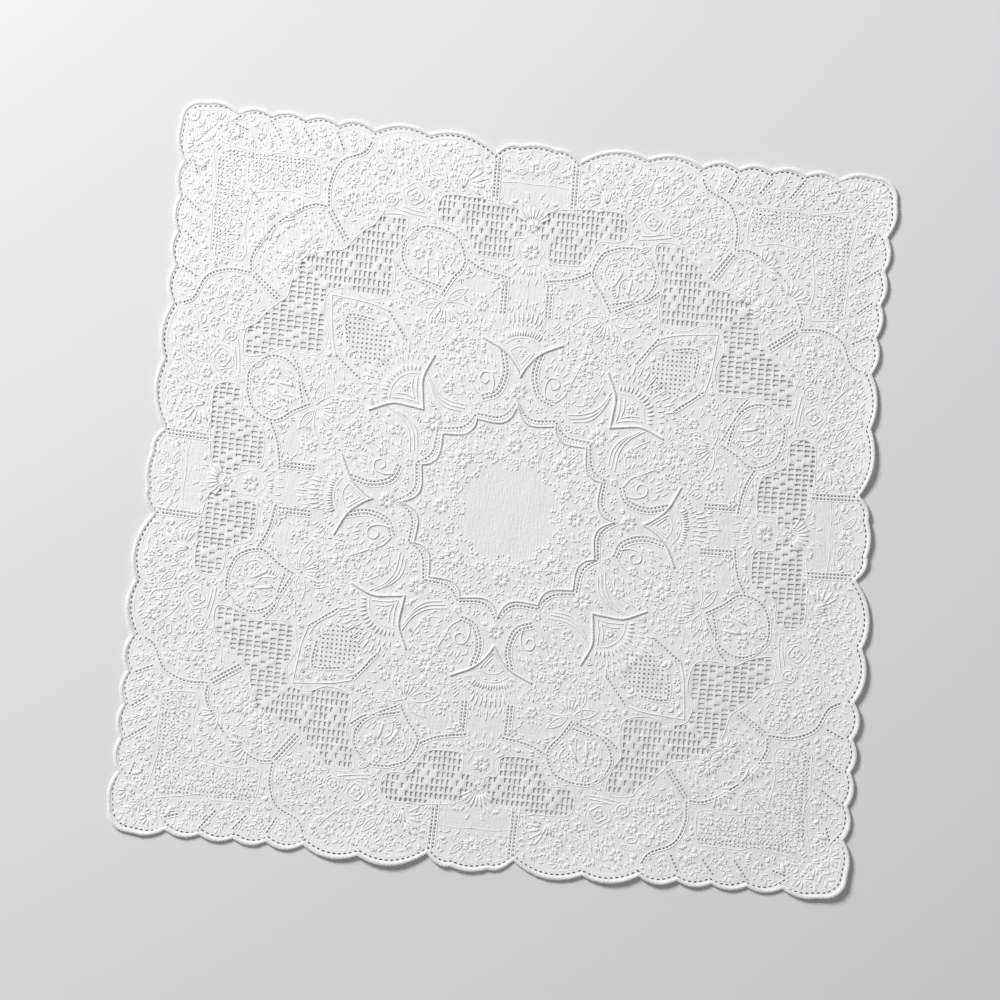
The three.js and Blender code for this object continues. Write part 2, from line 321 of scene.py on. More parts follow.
def clear_of(points, others, distance):
    """Those of the points that keep a distance from all the others."""
    tree = tree_of(others)
    away = np.array([tree.find((x, y, 0))[2] for x, y in points])
    return points[away > distance]


def apart(holes, distance):
    """The holes again, without those whose middle is too near that of one before them."""
    middles = np.array([hole.mean(axis=0) for hole in holes])
    kept = []
    for index, middle in enumerate(middles):
        if not kept or np.hypot(*(middles[kept] - middle).T).min() > distance:
            kept.append(index)
    return [holes[index] for index in kept]


def cut_sheet(name, loops, openings, holes, inner):
    """A closed thin sheet in the pattern's plane. Each loop, opening and hole is a run of points,
    and inner is the points between them. All come with the heights of the sheet's two faces."""
    points, edges, tops, feet, kinds = [], [], [], [], []
    count = 0
    for number, (run, top, foot) in enumerate([*loops, *openings, *holes]):
        points.append(run)
        index = count + np.arange(len(run))
        edges += list(zip(index.tolist(), np.roll(index, -1).tolist()))
        tops.append(np.broadcast_to(top, len(run)))
        feet.append(np.broadcast_to(foot, len(run)))
        kinds.append(np.full(len(run), number))
        count += len(run)
    for run, top, foot in inner:
        points.append(run)
        tops.append(np.broadcast_to(top, len(run)))
        feet.append(np.broadcast_to(foot, len(run)))
        kinds.append(np.full(len(run), -1))
    points = np.vstack(points)
    tops, feet, kinds = np.concatenate(tops), np.concatenate(feet), np.concatenate(kinds)
    made = geometry.delaunay_2d_cdt([Vector(p) for p in points.tolist()], edges, [], 0, MERGE_WITHIN)
    source = np.array([first[0] if first else -1 for first in made[3]])
    flat = np.array([tuple(v) for v in made[0]])
    top, foot, kind = tops[source], feet[source], kinds[source]
    faces = np.array([face for face in made[2] if len(face) == 3])
    middle = flat[faces].mean(axis=1)
    a, b, c = kind[faces].T
    same = (a == b) & (b == c) & (a >= 0)
    big = len(loops) + len(openings)
    drop = same & (a >= big)
    for one, other in ((a, b), (b, c), (c, a)):
        drop |= (one >= 0) & (other >= 0) & (one < len(loops)) & (other < len(loops)) & (one != other)
    for number, (run, _, _) in enumerate([*loops, *openings]):
        mine = np.flatnonzero(same & (a == number))
        within = inside(middle[mine], run)
        drop[mine[within if number >= len(loops) else ~within]] = True
    faces = faces[~drop]
    corner = flat[faces]
    first, second = corner[:, 1] - corner[:, 0], corner[:, 2] - corner[:, 0]
    turned_over = first[:, 0] * second[:, 1] - first[:, 1] * second[:, 0] < 0
    faces[turned_over] = faces[turned_over][:, ::-1]
    sides = np.vstack([faces[:, [0, 1]], faces[:, [1, 2]], faces[:, [2, 0]]])
    key = np.sort(sides, axis=1)
    _, at, times = np.unique(key, axis=0, return_index=True, return_counts=True)
    rim = sides[at[times == 1]]
    below = len(flat)
    walls = np.vstack([
        np.column_stack([rim[:, 1], rim[:, 0], rim[:, 0] + below]),
        np.column_stack([rim[:, 1], rim[:, 0] + below, rim[:, 1] + below]),
    ])
    everything = np.vstack([faces, faces[:, ::-1] + below, walls])
    corners = np.vstack([np.column_stack([flat, top]), np.column_stack([flat, foot])])
    used, everything = np.unique(everything, return_inverse=True)
    mesh = bpy.data.meshes.new(name)
    mesh.from_pydata(corners[used].tolist(), [], everything.reshape(-1, 3).tolist())
    return mesh


# Panels of drawn threads, in the same eighth. The second crosses the diagonal, so it is given
# as the half that its mirror image completes.
SIDE_PANEL = [
    (3.4, 149.5), (3.4, 160), (10, 164.5), (22, 167), (46, 167.8), (52, 164), (52.3, 155),
    (47, 151.6), (38, 151.2), (34.5, 146), (32, 139.5), (26, 136.8), (12, 137), (9.8, 142), (9, 148.5),
]
DIAGONAL_HALF = [
    (108.5, 108.5), (98, 111), (88, 107.2), (75, 110.5), (73.5, 122), (75.3, 131), (71, 139.5),
    (69.3, 152.5), (82, 153), (87, 147), (93, 142.5), (99, 136), (103, 131.5), (112, 129.5),
    (124.5, 124.5),
]
DIAGONAL_PANEL = DIAGONAL_HALF + [(y, x) for x, y in DIAGONAL_HALF[-2:0:-1]]

side_panels = eight_times(smooth(SIDE_PANEL, closed=True))
diagonal_panels = four_times(smooth(DIAGONAL_PANEL, closed=True))
panels = side_panels + diagonal_panels

needle_holes = []
for place, way in zip(*spaced(outline(RIM_HOLE_LINE), RIM_HOLE_SPACING, closed=True)):
    needle_holes.append(hole_round(place, way, *RIM_HOLE))
for (_, rows), through in LADDERS:
    for row in rows:
        for run in eight_times(beside(smooth(through), row)):
            for place, way in zip(*spaced(run, LADDER_SPACING)):
                needle_holes.append(hole_round(place, way, *LADDER_HOLE))
pulled = np.arange(*PULLED_FROM, PULLED_PITCH)
for x in pulled:
    for y in pulled:
        if PULLED_REACH[0] < (x + y) / 2 < PULLED_REACH[1] and abs(x - y) < PULLED_HALF_WIDTH:
            for place in four_times([(x, y)]):
                needle_holes.append(hole_round(place[0], RIGHTWARDS, *PULLED_HOLE))
scatter = np.random.default_rng(BAND_SEED)
band_spots = [
    (x, y + scatter.uniform(-BAND_HOLE_SWAY, BAND_HOLE_SWAY))
    for y in BAND_HOLE_ROWS
    for x in np.arange(y - BAND_ROW_ENDS[0], y - BAND_ROW_ENDS[1], BAND_HOLE_PITCH)
]
loose_spots = scatter.uniform(*BAND_CORNERS, (BAND_HOLE_COUNT, 2))
band_spots += [(x, y) for x, y in loose_spots if x < y - 1]
for spot in band_spots:
    for place in eight_times([spot]):
        needle_holes.append(hole_round(place[0], RIGHTWARDS, *BAND_HOLE))
panel_points = np.vstack(panels)
needle_holes = apart(needle_holes, HOLES_APART)
middles = np.array([hole.mean(axis=0) for hole in needle_holes])
edge_points = outline(EDGE_TUCK)
blocked = np.zeros(len(middles), bool)
for panel in panels:
    blocked |= inside(middles, panel)
near_tree = tree_of(np.vstack([panel_points, edge_points]))
for index, (x, y) in enumerate(middles):
    blocked[index] |= near_tree.find((x, y, 0))[2] < HOLE_TO_EDGE
needle_holes = [hole for hole, out in zip(needle_holes, blocked) if not out]

# The points between the holes stand in a net of near-equal triangles, each moved a little
GRID = 2.7
NET_SWAY = 0.25
NET_SEED = 7
# A little more than the cloth reaches from its middle
BEYOND = 212
across = np.arange(-BEYOND, BEYOND, GRID)
rows = np.arange(-BEYOND, BEYOND, GRID * math.sqrt(3) / 2)
net = np.array([(x + (number % 2) * GRID / 2, y) for number, y in enumerate(rows) for x in across])
net += np.random.default_rng(NET_SEED).uniform(-NET_SWAY, NET_SWAY, net.shape)
net = net[inside(net, edge_points)]
for panel in panels:
    net = net[~inside(net, panel)]
net = clear_of(net, np.vstack([edge_points, panel_points, *needle_holes]), NET_TO_HOLE)

cloth_mesh = cut_sheet(
    "cloth_sheet",
    [(edge_points, 0, -CLOTH_THICKNESS)],
    [(panel, 0, -CLOTH_THICKNESS) for panel in panels],
    [(hole, 0, -CLOTH_THICKNESS) for hole in needle_holes],
    [(net, 0, -CLOTH_THICKNESS)],
)

lying_edge = lie(outline(0))
BOX_CENTRE = (lying_edge.min(axis=0) + lying_edge.max(axis=0)) / 2


def lay(mesh):
    """Lays a mesh made in the worked square's plane on the table, its heights from the cloth's top."""
    co = np.empty(len(mesh.vertices) * 3, np.float32)
    mesh.vertices.foreach_get("co", co)
    co = co.reshape(-1, 3).astype(float)
    worked = co[:, :2].copy()
    place = lie(worked) - BOX_CENTRE
    height = np.maximum(underside(worked) + CLOTH_THICKNESS + co[:, 2], LEAST_HEIGHT)
    laid = np.column_stack([place, height]) * 0.001
    mesh.vertices.foreach_set("co", laid.astype(np.float32).ravel())
    loops = np.empty(len(mesh.loops), np.int32)
    mesh.loops.foreach_get("vertex_index", loops)
    layer = mesh.uv_layers.get("worked") or mesh.uv_layers.new(name="worked")
    layer.data.foreach_set("uv", worked[loops].astype(np.float32).ravel())
    mesh.shade_smooth()
    mesh.update()


def show(name, mesh, material):
    """One laid piece in the scene, riding on the cloth's body and standing for its solid."""
    lay(mesh)
    # The cut rims of the cloth and its panels stay crisp
    if material is woven:
        mesh.set_sharp_from_angle(angle=CUT_RIM)
    mesh.materials.clear()
    mesh.materials.append(material)
    piece = bpy.data.objects.new(name, mesh)
    bpy.context.scene.collection.objects.link(piece)
    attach(piece, "root")
    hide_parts("cloth")
    return piece


CLOTH_WHITE = (0.88, 0.88, 0.885, 1)
# The grain of the weave is bump: soft creases along the upright threads, and finer slubs
UPRIGHT_GRAIN = (1.1, 0.13, 1)


def bumpy(name, colour, roughness, sheen):
    """A matt white material, and the nodes that its height goes into."""
    material = bpy.data.materials.new(name)
    material.use_nodes = True
    nodes, links = material.node_tree.nodes, material.node_tree.links
    shader = nodes["Principled BSDF"]
    shader.inputs["Base Color"].default_value = colour
    shader.inputs["Roughness"].default_value = roughness
    shader.inputs["Sheen Weight"].default_value = sheen
    shader.inputs["Specular IOR Level"].default_value = 0.25
    bump = nodes.new("ShaderNodeBump")
    links.new(bump.outputs["Normal"], shader.inputs["Normal"])
    return material, nodes, links, bump


woven, nodes, links, bump = bumpy("woven cloth", CLOTH_WHITE, roughness=0.85, sheen=0.15)
bump.inputs["Strength"].default_value = 1.0
bump.inputs["Distance"].default_value = 0.0005
worked = nodes.new("ShaderNodeUVMap")
worked.uv_map = "worked"
upright = nodes.new("ShaderNodeVectorMath")
upright.operation = "MULTIPLY"
upright.inputs[1].default_value = UPRIGHT_GRAIN
links.new(worked.outputs["UV"], upright.inputs[0])
warp = nodes.new("ShaderNodeTexNoise")
warp.inputs["Scale"].default_value = 1
warp.inputs["Detail"].default_value = 2
links.new(upright.outputs["Vector"], warp.inputs["Vector"])
slub = nodes.new("ShaderNodeTexNoise")
slub.inputs["Scale"].default_value = 0.5
slub.inputs["Detail"].default_value = 4
slub.inputs["Roughness"].default_value = 0.65
links.new(worked.outputs["UV"], slub.inputs["Vector"])
blend = nodes.new("ShaderNodeMix")
blend.data_type = "FLOAT"
blend.inputs["Factor"].default_value = 0.5
links.new(warp.outputs["Fac"], blend.inputs["A"])
links.new(slub.outputs["Fac"], blend.inputs["B"])
links.new(blend.outputs["Result"], bump.inputs["Height"])

cloth = show("cloth_sheet", cloth_mesh, woven)

# The drawn-thread panels
# Threads of the cloth itself are drawn out in both directions and those that are left are
# overcast into puffy bars. Some of the holes are darned over to make small flowers.
PANEL_TUCK = 0.8
HOLE_HALF = (0.73, 1.57)
LEAST_HOLE = 0.7
PANEL_MARGIN = 0.4
# Heights from the cloth's top: a bar's middle, a hole's rim, the foot of both, and the top and
# foot of the panel's own rim
BAR_TOP = 0.1
HOLE_TOP = -0.1
PANEL_FOOT = -0.26
PANEL_RIM = (-0.33, -0.38)
# How far a hole is out of place, how much its size differs, and how far its corners are cut
HOLE_SHIFT = 0.14
HOLE_GROWTH = (0.86, 1.1)
HOLE_CORNER = 0.3
HOLE_SEED = 23
# How far a bar's points keep from a hole, and how far apart the points of a darned cell are
BAR_TO_HOLE = 0.3
DARN_STEP = 1
# How far inside a hole's ends the panel's outline is looked up, and how far from the diagonal the
# half of a panel that is worked out ends
JUST_INSIDE = 0.01
OFF_DIAGONAL = 0.5
# Each panel's holes in columns and rows: the first place, the pitch and the count. The little
# flowers are four darned cells round an open hole, and these are their columns and rows.
SIDE_COLUMNS = (3.4, 2.7, 20)
SIDE_ROWS = (137.8, 4.15, 8)
SIDE_FLOWERS = ((3, 4), (9, 3), (14, 5))
DIAGONAL_COLUMNS = (70.9, 2.68, 22)
DIAGONAL_ROWS = (107.1, 4.3, 12)
DIAGONAL_FLOWERS = ((4, 4), (10, 4), (3, 9))


def span(loop, axis, at, within):
    """The stretch of a straight line across a loop that holds the given place, or None."""
    first, second = loop, np.roll(loop, -1, axis=0)
    cut = (first[:, axis] <= at) != (second[:, axis] <= at)
    first, second = first[cut], second[cut]
    part = (at - first[:, axis]) / (second[:, axis] - first[:, axis])
    other = 1 - axis
    cuts = np.sort(first[:, other] + part * (second[:, other] - first[:, other]))
    for low, high in zip(cuts[::2], cuts[1::2]):
        if low < within < high:
            return low, high
    return None


def drawn_hole(loop, x, y, half_x, half_y):
    """One hole of the drawn work with round corners, cut short by the loop, or None."""
    across = span(loop, 1, y, x)
    if across is None:
        return None
    left, right = max(x - half_x, across[0]), min(x + half_x, across[1])
    if right - left < LEAST_HOLE:
        return None
    ends = []
    for edge in (left + JUST_INSIDE, right - JUST_INSIDE):
        up = span(loop, 0, edge, y)
        if up is None:
            return None
        low, high = max(y - half_y, up[0]), min(y + half_y, up[1])
        if high - low < LEAST_HOLE:
            return None
        ends.append((low, high))
    corners = np.array([
        (left, ends[0][0]), (right, ends[1][0]), (right, ends[1][1]), (left, ends[0][1]),
    ])
    rounded = []
    for before, corner, after in zip(np.roll(corners, 1, axis=0), corners, np.roll(corners, -1, axis=0)):
        for other in (before, after):
            way = other - corner
            rounded.append(corner + way * min(HOLE_CORNER, HOLE_CORNER / np.hypot(*way)))
    return np.array(rounded)


def signed_area(loop):
    x, y = loop.T
    return 0.5 * np.sum(x * np.roll(y, -1) - np.roll(x, -1) * y)


def moved_out(loop, distance):
    return beside(loop, -distance if signed_area(loop) > 0 else distance)


def drawn_work(loop, columns, rows, flowers):
    """The holes of one panel, and the points along the raised bars between them."""
    opening = moved_out(loop, -PANEL_MARGIN)
    beside_it = ((1, 0), (-1, 0), (0, 1), (0, -1))
    darned = {(column + a, row + b) for column, row in flowers for a, b in beside_it}
    xs = columns[0] + columns[1] * np.arange(columns[2])
    ys = rows[0] + rows[1] * np.arange(rows[2])
    uneven_way = np.random.default_rng(HOLE_SEED)
    holes, raised = [], []
    for column, x in enumerate(xs):
        for row, y in enumerate(ys):
            if (column, row) in darned:
                raised += [(x, y), (x, y + DARN_STEP), (x, y - DARN_STEP)]
                continue
            shift = uneven_way.uniform(-HOLE_SHIFT, HOLE_SHIFT, 2)
            grow = uneven_way.uniform(*HOLE_GROWTH, 2)
            hole = drawn_hole(opening, x + shift[0], y + shift[1], *(HOLE_HALF * grow))
            if hole is not None:
                holes.append(hole)
    for x in xs + columns[1] / 2:
        raised += [(x, y) for y in ys] + [(x, y + rows[1] / 2) for y in ys]
    for y in ys + rows[1] / 2:
        raised += [(x, y) for x in xs]
    raised = np.array(raised)
    raised = raised[inside(raised, loop)]
    return holes, clear_of(raised, np.vstack([*holes, loop]), BAR_TO_HOLE)


side_work = drawn_work(side_panels[0], SIDE_COLUMNS, SIDE_ROWS, SIDE_FLOWERS)
diagonal_loop = diagonal_panels[0]
diagonal_work = drawn_work(
    diagonal_loop[diagonal_loop[:, 0] <= diagonal_loop[:, 1] - OFF_DIAGONAL],
    DIAGONAL_COLUMNS, DIAGONAL_ROWS, DIAGONAL_FLOWERS,
)
for name, loops, (holes, raised) in (
    ("drawn_threads_sides", side_panels, side_work),
    ("drawn_threads_corners", diagonal_panels, diagonal_work),
):
    all_holes = [copy for hole in holes for copy in eight_times(hole)]
    all_raised = np.vstack(eight_times(raised))
    mesh = cut_sheet(
        name,
        [(moved_out(loop, PANEL_TUCK), *PANEL_RIM) for loop in loops],
        [],
        [(hole, HOLE_TOP, PANEL_FOOT) for hole in all_holes],
        [(all_raised, BAR_TOP, PANEL_FOOT)],
    )
    show(name, mesh, woven)

# The buttonholed edge
# Close stitches of thick soft white cotton wrap the scalloped edge of the cloth, so that it
# stands up as a smooth cord all the way round. The stitches are worked over the cloth itself.
THREAD_WHITE = (0.92, 0.92, 0.925, 1)
EDGE_LINE = 1.3
EDGE_STITCH_SPACING = 0.7
EDGE_WIDTH = 2.6
EDGE_RISE = 0.42
# The stitches' undersides reach down towards the table, which gives the rim its dark line
EDGE_SINK = 2.9
EDGE_STITCH_LENGTH = 0.44
STITCH_SIDES = 6
# The narrowest and the widest stitch, as shares of the line's own width
STITCH_WIDTHS = (0.9, 1.06)

thread, nodes, links, bump = bumpy("embroidery thread", THREAD_WHITE, roughness=0.6, sheen=0.3)
bump.inputs["Strength"].default_value = 0.25
bump.inputs["Distance"].default_value = 0.0001
spot = nodes.new("ShaderNodeTexCoord")
fibres = nodes.new("ShaderNodeTexNoise")
fibres.inputs["Scale"].default_value = 2600
fibres.inputs["Detail"].default_value = 2
links.new(spot.outputs["Object"], fibres.inputs["Vector"])
links.new(fibres.outputs["Fac"], bump.inputs["Height"])


def lens(name, sections, sides, sink):
    """A closed rounded stitch, 2 wide across the line in y, 1 high and sunk by a share in z. Each
    section has its place across and how full it is."""
    turn = np.arange(sides) * 2 * math.pi / sides
    rings = [(full * np.cos(turn), np.full(sides, y), full * np.sin(turn)) for y, full in sections]
    points = np.hstack([np.array(ring) for ring in rings]).T
    points = np.vstack([points, (0, -1, 0), (0, 1, 0)])
    points[:, 2] *= np.where(points[:, 2] > 0, 1, sink)
    first, last = len(points) - 2, len(points) - 1
    faces = []
    for side in range(sides):
        after = (side + 1) % sides
        faces.append((first, side, after))
        for ring in range(len(sections) - 1):
            low, high = ring * sides, (ring + 1) * sides
            faces.append((low + side, high + side, high + after, low + after))
        end = (len(sections) - 1) * sides
        faces.append((last, end + after, end + side))
    mesh = bpy.data.meshes.new(name)
    mesh.from_pydata(points.tolist(), [], faces)
    return bpy.data.objects.new(name, mesh)


def new_tree(name, sockets):
    """An empty Geometry Nodes tree with named inputs, and its first and last nodes."""
    tree = bpy.data.node_groups.new(name, "GeometryNodeTree")
    face = tree.interface
    face.new_socket("Geometry", in_out="INPUT", socket_type="NodeSocketGeometry")
    for label, kind in sockets:
        face.new_socket(label, in_out="INPUT", socket_type="NodeSocket" + kind)
    face.new_socket("Geometry", in_out="OUTPUT", socket_type="NodeSocketGeometry")
    return tree, tree.nodes.new("NodeGroupInput"), tree.nodes.new("NodeGroupOutput")


def named(tree, label, kind="FLOAT"):
    """The value of a named attribute of the points."""
    node = tree.nodes.new("GeometryNodeInputNamedAttribute")
    node.data_type = kind
    node.inputs["Name"].default_value = label
    return node.outputs["Attribute"]


def end_tree(tree, made, start, end):
    """Realizes what the tree made and gives it its material."""
    real = tree.nodes.new("GeometryNodeRealizeInstances")
    paint = tree.nodes.new("GeometryNodeSetMaterial")
    tree.links.new(made, real.inputs["Geometry"])
    tree.links.new(real.outputs["Geometry"], paint.inputs["Geometry"])
    tree.links.new(start.outputs["Material"], paint.inputs["Material"])
    tree.links.new(paint.outputs["Geometry"], end.inputs["Geometry"])


# Stitches set evenly along lines, each turned to its line and sized by the line's own width
# and rise
stitching, start, end = new_tree(
    "stitches along lines",
    [
        ("Stitch", "Object"), ("Spacing", "Float"), ("Length", "Float"), ("Seed", "Int"),
        ("Material", "Material"),
    ],
)
curve = stitching.nodes.new("GeometryNodeMeshToCurve")
evenly = stitching.nodes.new("GeometryNodeResampleCurve")
evenly.mode = "LENGTH"
way = stitching.nodes.new("GeometryNodeInputTangent")
facing = stitching.nodes.new("FunctionNodeAlignRotationToVector")
facing.axis = "X"
facing.pivot_axis = "Z"
uneven_width = stitching.nodes.new("FunctionNodeRandomValue")
uneven_width.data_type = "FLOAT"
uneven_width.inputs[2].default_value = STITCH_WIDTHS[0]
uneven_width.inputs[3].default_value = STITCH_WIDTHS[1]
wide = stitching.nodes.new("ShaderNodeMath")
wide.operation = "MULTIPLY"
size = stitching.nodes.new("ShaderNodeCombineXYZ")
stitch = stitching.nodes.new("GeometryNodeObjectInfo")
place = stitching.nodes.new("GeometryNodeInstanceOnPoints")
for a, b in (
    (start.outputs["Geometry"], curve.inputs["Mesh"]),
    (curve.outputs["Curve"], evenly.inputs["Curve"]),
    (start.outputs["Spacing"], evenly.inputs["Length"]),
    (way.outputs["Tangent"], facing.inputs["Vector"]),
    (start.outputs["Seed"], uneven_width.inputs["Seed"]),
    (named(stitching, "half_width"), wide.inputs[0]),
    (uneven_width.outputs[1], wide.inputs[1]),
    (start.outputs["Length"], size.inputs["X"]),
    (wide.outputs["Value"], size.inputs["Y"]),
    (named(stitching, "rise"), size.inputs["Z"]),
    (start.outputs["Stitch"], stitch.inputs["Object"]),
    (evenly.outputs["Curve"], place.inputs["Points"]),
    (stitch.outputs["Geometry"], place.inputs["Instance"]),
    (facing.outputs["Rotation"], place.inputs["Rotation"]),
    (size.outputs["Vector"], place.inputs["Scale"]),
):
    stitching.links.new(a, b)
end_tree(stitching, place.outputs["Instances"], start, end)


def grown(name, tree, mesh, **values):
    """What a tree makes of a mesh, as a plain mesh."""
    base = bpy.data.objects.new(name + "_base", mesh)
    bpy.context.scene.collection.objects.link(base)
    modifier = base.modifiers.new(tree.name, "NODES")
    modifier.node_group = tree
    for item in tree.interface.items_tree:
        if item.in_out == "INPUT" and item.name in values:
            modifier[item.identifier] = values[item.name]
    made = bpy.data.meshes.new_from_object(base.evaluated_get(bpy.context.evaluated_depsgraph_get()))
    made.name = name
    base.modifiers.clear()
    bpy.data.objects.remove(base)
    return made


def drawn_lines(name, lines):
    """A mesh of lines in the pattern's plane. Each line has its points, width and rise, and whether
    it is closed."""
    points, edges, widths, rises = [], [], [], []
    count = 0
    for run, width, rise, closed in lines:
        index = count + np.arange(len(run))
        edges += list(zip(index[:-1].tolist(), index[1:].tolist()))
        if closed:
            edges.append((int(index[-1]), count))
        points.append(run)
        widths.append(np.broadcast_to(width, len(run)) / 2)
        rises.append(np.broadcast_to(rise, len(run)))
        count += len(run)
    points = np.vstack(points)
    mesh = bpy.data.meshes.new(name + "_lines")
    mesh.from_pydata(np.column_stack([points, np.zeros(count)]).tolist(), edges, [])
    for label, values in (("half_width", np.concatenate(widths)), ("rise", np.concatenate(rises))):
        layer = mesh.attributes.new(label, "FLOAT", "POINT")
        layer.data.foreach_set("value", values.astype(np.float32))
    return mesh


FULL_SECTIONS = ((-0.72, 0.74), (0, 1), (0.72, 0.74))
edge_stitch = lens("edge stitch", FULL_SECTIONS, STITCH_SIDES, EDGE_SINK)
edge_lines = drawn_lines("buttonholed_edge", [(outline(EDGE_LINE), EDGE_WIDTH, EDGE_RISE, True)])
show("buttonholed_edge", grown(
    "buttonholed_edge", stitching, edge_lines,
    Stitch=edge_stitch, Spacing=EDGE_STITCH_SPACING, Length=EDGE_STITCH_LENGTH, Seed=3, Material=thread,
), thread)

# The raised cords
# Lines of satin stitch over a padding of thread stand up from the cloth: the ring of arcs round
# the middle and the arms of the eight fans. They are sewn through the cloth.
CORD_STITCH_SPACING = 0.8
CORD_STITCH_LENGTH = 0.52
CORD_SINK = 0.3
CORDS = [
    (1.3, 0.85, [(0, 58.5), (3.5, 51.5), (9.5, 48.5), (21.5, 49.5)]),
    (1.3, 0.85, [(21.5, 49.5), (23, 44.5), (28, 40.5), (39.5, 39.5)]),
    (1.4, 0.95, [(0, 74.5), (3, 80), (10, 87.5), (22, 93.5)]),
    (1.4, 0.95, [(51.5, 51.5), (52.5, 59), (53, 69), (48, 81)]),
]
cord_stitch = lens("cord stitch", FULL_SECTIONS, STITCH_SIDES, CORD_SINK)
cord_lines = drawn_lines("raised_cords", [
    (line, width, rise, False)
    for width, rise, through in CORDS
    for line in eight_times(smooth(through, step=0.7))
])
show("raised_cords", grown(
    "raised_cords", stitching, cord_lines,
    Stitch=cord_stitch, Spacing=CORD_STITCH_SPACING, Length=CORD_STITCH_LENGTH, Seed=5, Material=thread,
), thread)

# Outlines in thread
# Thin lines of outline stitch edge the ladders, the drawn-thread panels and the lobes of the
# border. Each is one or two threads thick and is sewn through the cloth.
RAIL_WIDTH = 0.55
RAIL_RISE = 0.05
# A line's height as a share of its width, the step between its points as drawn, and the step and
# the sides of its thread
LINE_LIFT = 0.2
DRAWN_STEP = 0.8
LINE_STEP = 1.5
LINE_SIDES = 4
# The lines round each panel and inside the edge: how far off, how wide and how high
PANEL_LINE = (0.1, 0.5, 0.03)
INNER_LINE = (4.9, 0.4, 0.0)

lining, start, end = new_tree(
    "thread along lines",
    [("Step", "Float"), ("Sides", "Int"), ("Material", "Material")],
)
curve = lining.nodes.new("GeometryNodeMeshToCurve")
evenly = lining.nodes.new("GeometryNodeResampleCurve")
evenly.mode = "LENGTH"
circle = lining.nodes.new("GeometryNodeCurvePrimitiveCircle")
circle.inputs["Radius"].default_value = 1
tube = lining.nodes.new("GeometryNodeCurveToMesh")
tube.inputs["Fill Caps"].default_value = True
lift_up = lining.nodes.new("ShaderNodeCombineXYZ")
raise_line = lining.nodes.new("GeometryNodeSetPosition")
for a, b in (
    (start.outputs["Geometry"], curve.inputs["Mesh"]),
    (curve.outputs["Curve"], evenly.inputs["Curve"]),
    (start.outputs["Step"], evenly.inputs["Length"]),
    (evenly.outputs["Curve"], raise_line.inputs["Geometry"]),
    (named(lining, "rise"), lift_up.inputs["Z"]),
    (lift_up.outputs["Vector"], raise_line.inputs["Offset"]),
    (start.outputs["Sides"], circle.inputs["Resolution"]),
    (raise_line.outputs["Geometry"], tube.inputs["Curve"]),
    (circle.outputs["Curve"], tube.inputs["Profile Curve"]),
    (named(lining, "half_width"), tube.inputs["Scale"]),
):
    lining.links.new(a, b)
end_tree(lining, tube.outputs["Mesh"], start, end)

thin = []
for (rails, _), through in LADDERS:
    for side in rails:
        rail = beside(smooth(through, DRAWN_STEP), side)
        thin += [(copy, RAIL_WIDTH, RAIL_RISE, False) for copy in eight_times(rail)]
for panel in panels:
    thin.append((moved_out(panel, PANEL_LINE[0]), *PANEL_LINE[1:], True))
thin.append((outline(INNER_LINE[0]), *INNER_LINE[1:], True))
# Single lines of outline stitch in one eighth of the pattern, each with its width
SINGLE_LINES = [
    (0.7, [(51, 71), (45.5, 62.5), (38, 57.8), (28, 56.3)]),
    (0.7, [(50.5, 68), (45.5, 60.5), (38.5, 55.8), (29, 54.3)]),
    (0.7, [(49.5, 65.5), (45.5, 58.8), (39.5, 54), (31, 52.6)]),
    (0.7, [(0, 78.5), (6.6, 88)]),
    (0.6, [(0, 81.5), (4.4, 87)]),
    (0.7, [(54.5, 54.5), (56, 61), (56, 69)]),
    (0.7, [(57, 57), (58.5, 62), (58.5, 67)]),
    (0.42, [(121.6, 177.7), (137, 178), (144, 178.3), (151, 175.8), (160.5, 177.6), (176.3, 180.6)]),
    (0.42, [(121.6, 177.7), (119.3, 170), (118.8, 159)]),
    (0.42, [(118.8, 159), (124.5, 157), (135.7, 158.8), (155.6, 156)]),
    (0.4, [(0, 178.5), (10, 179), (19, 178)]),
    (0.5, [(0, 95.5), (5, 94.6), (9.5, 91.5)]),
    (0.5, [(0, 90.8), (3.5, 90.2), (6.4, 88)]),
    (0.5, [(55.5, 70.5), (62, 69.5), (66.5, 66.5)]),
]
for width, through in SINGLE_LINES:
    run = smooth(through, DRAWN_STEP)
    thin += [(copy, width, width * LINE_LIFT, False) for copy in eight_times(run)]
show("thread_outlines", grown(
    "thread_outlines", lining, drawn_lines("thread_outlines", thin),
    Step=LINE_STEP, Sides=LINE_SIDES, Material=thread,
), thread)

# Petals, leaves and knots
# Each petal and leaf is a few satin stitches over padding, and each knot is thread wound on the
# needle. They are sewn through the cloth.
petalling, start, end = new_tree("petals on points", [("Petal", "Object"), ("Material", "Material")])
petal = petalling.nodes.new("GeometryNodeObjectInfo")
place = petalling.nodes.new("GeometryNodeInstanceOnPoints")
turn_up = petalling.nodes.new("ShaderNodeCombineXYZ")
turning = petalling.nodes.new("FunctionNodeEulerToRotation")
for a, b in (
    (start.outputs["Geometry"], place.inputs["Points"]),
    (start.outputs["Petal"], petal.inputs["Object"]),
    (petal.outputs["Geometry"], place.inputs["Instance"]),
    (named(petalling, "turn"), turn_up.inputs["Z"]),
    (turn_up.outputs["Vector"], turning.inputs["Euler"]),
    (turning.outputs["Rotation"], place.inputs["Rotation"]),
    (named(petalling, "size", "FLOAT_VECTOR"), place.inputs["Scale"]),
):
    petalling.links.new(a, b)
end_tree(petalling, place.outputs["Instances"], start, end)


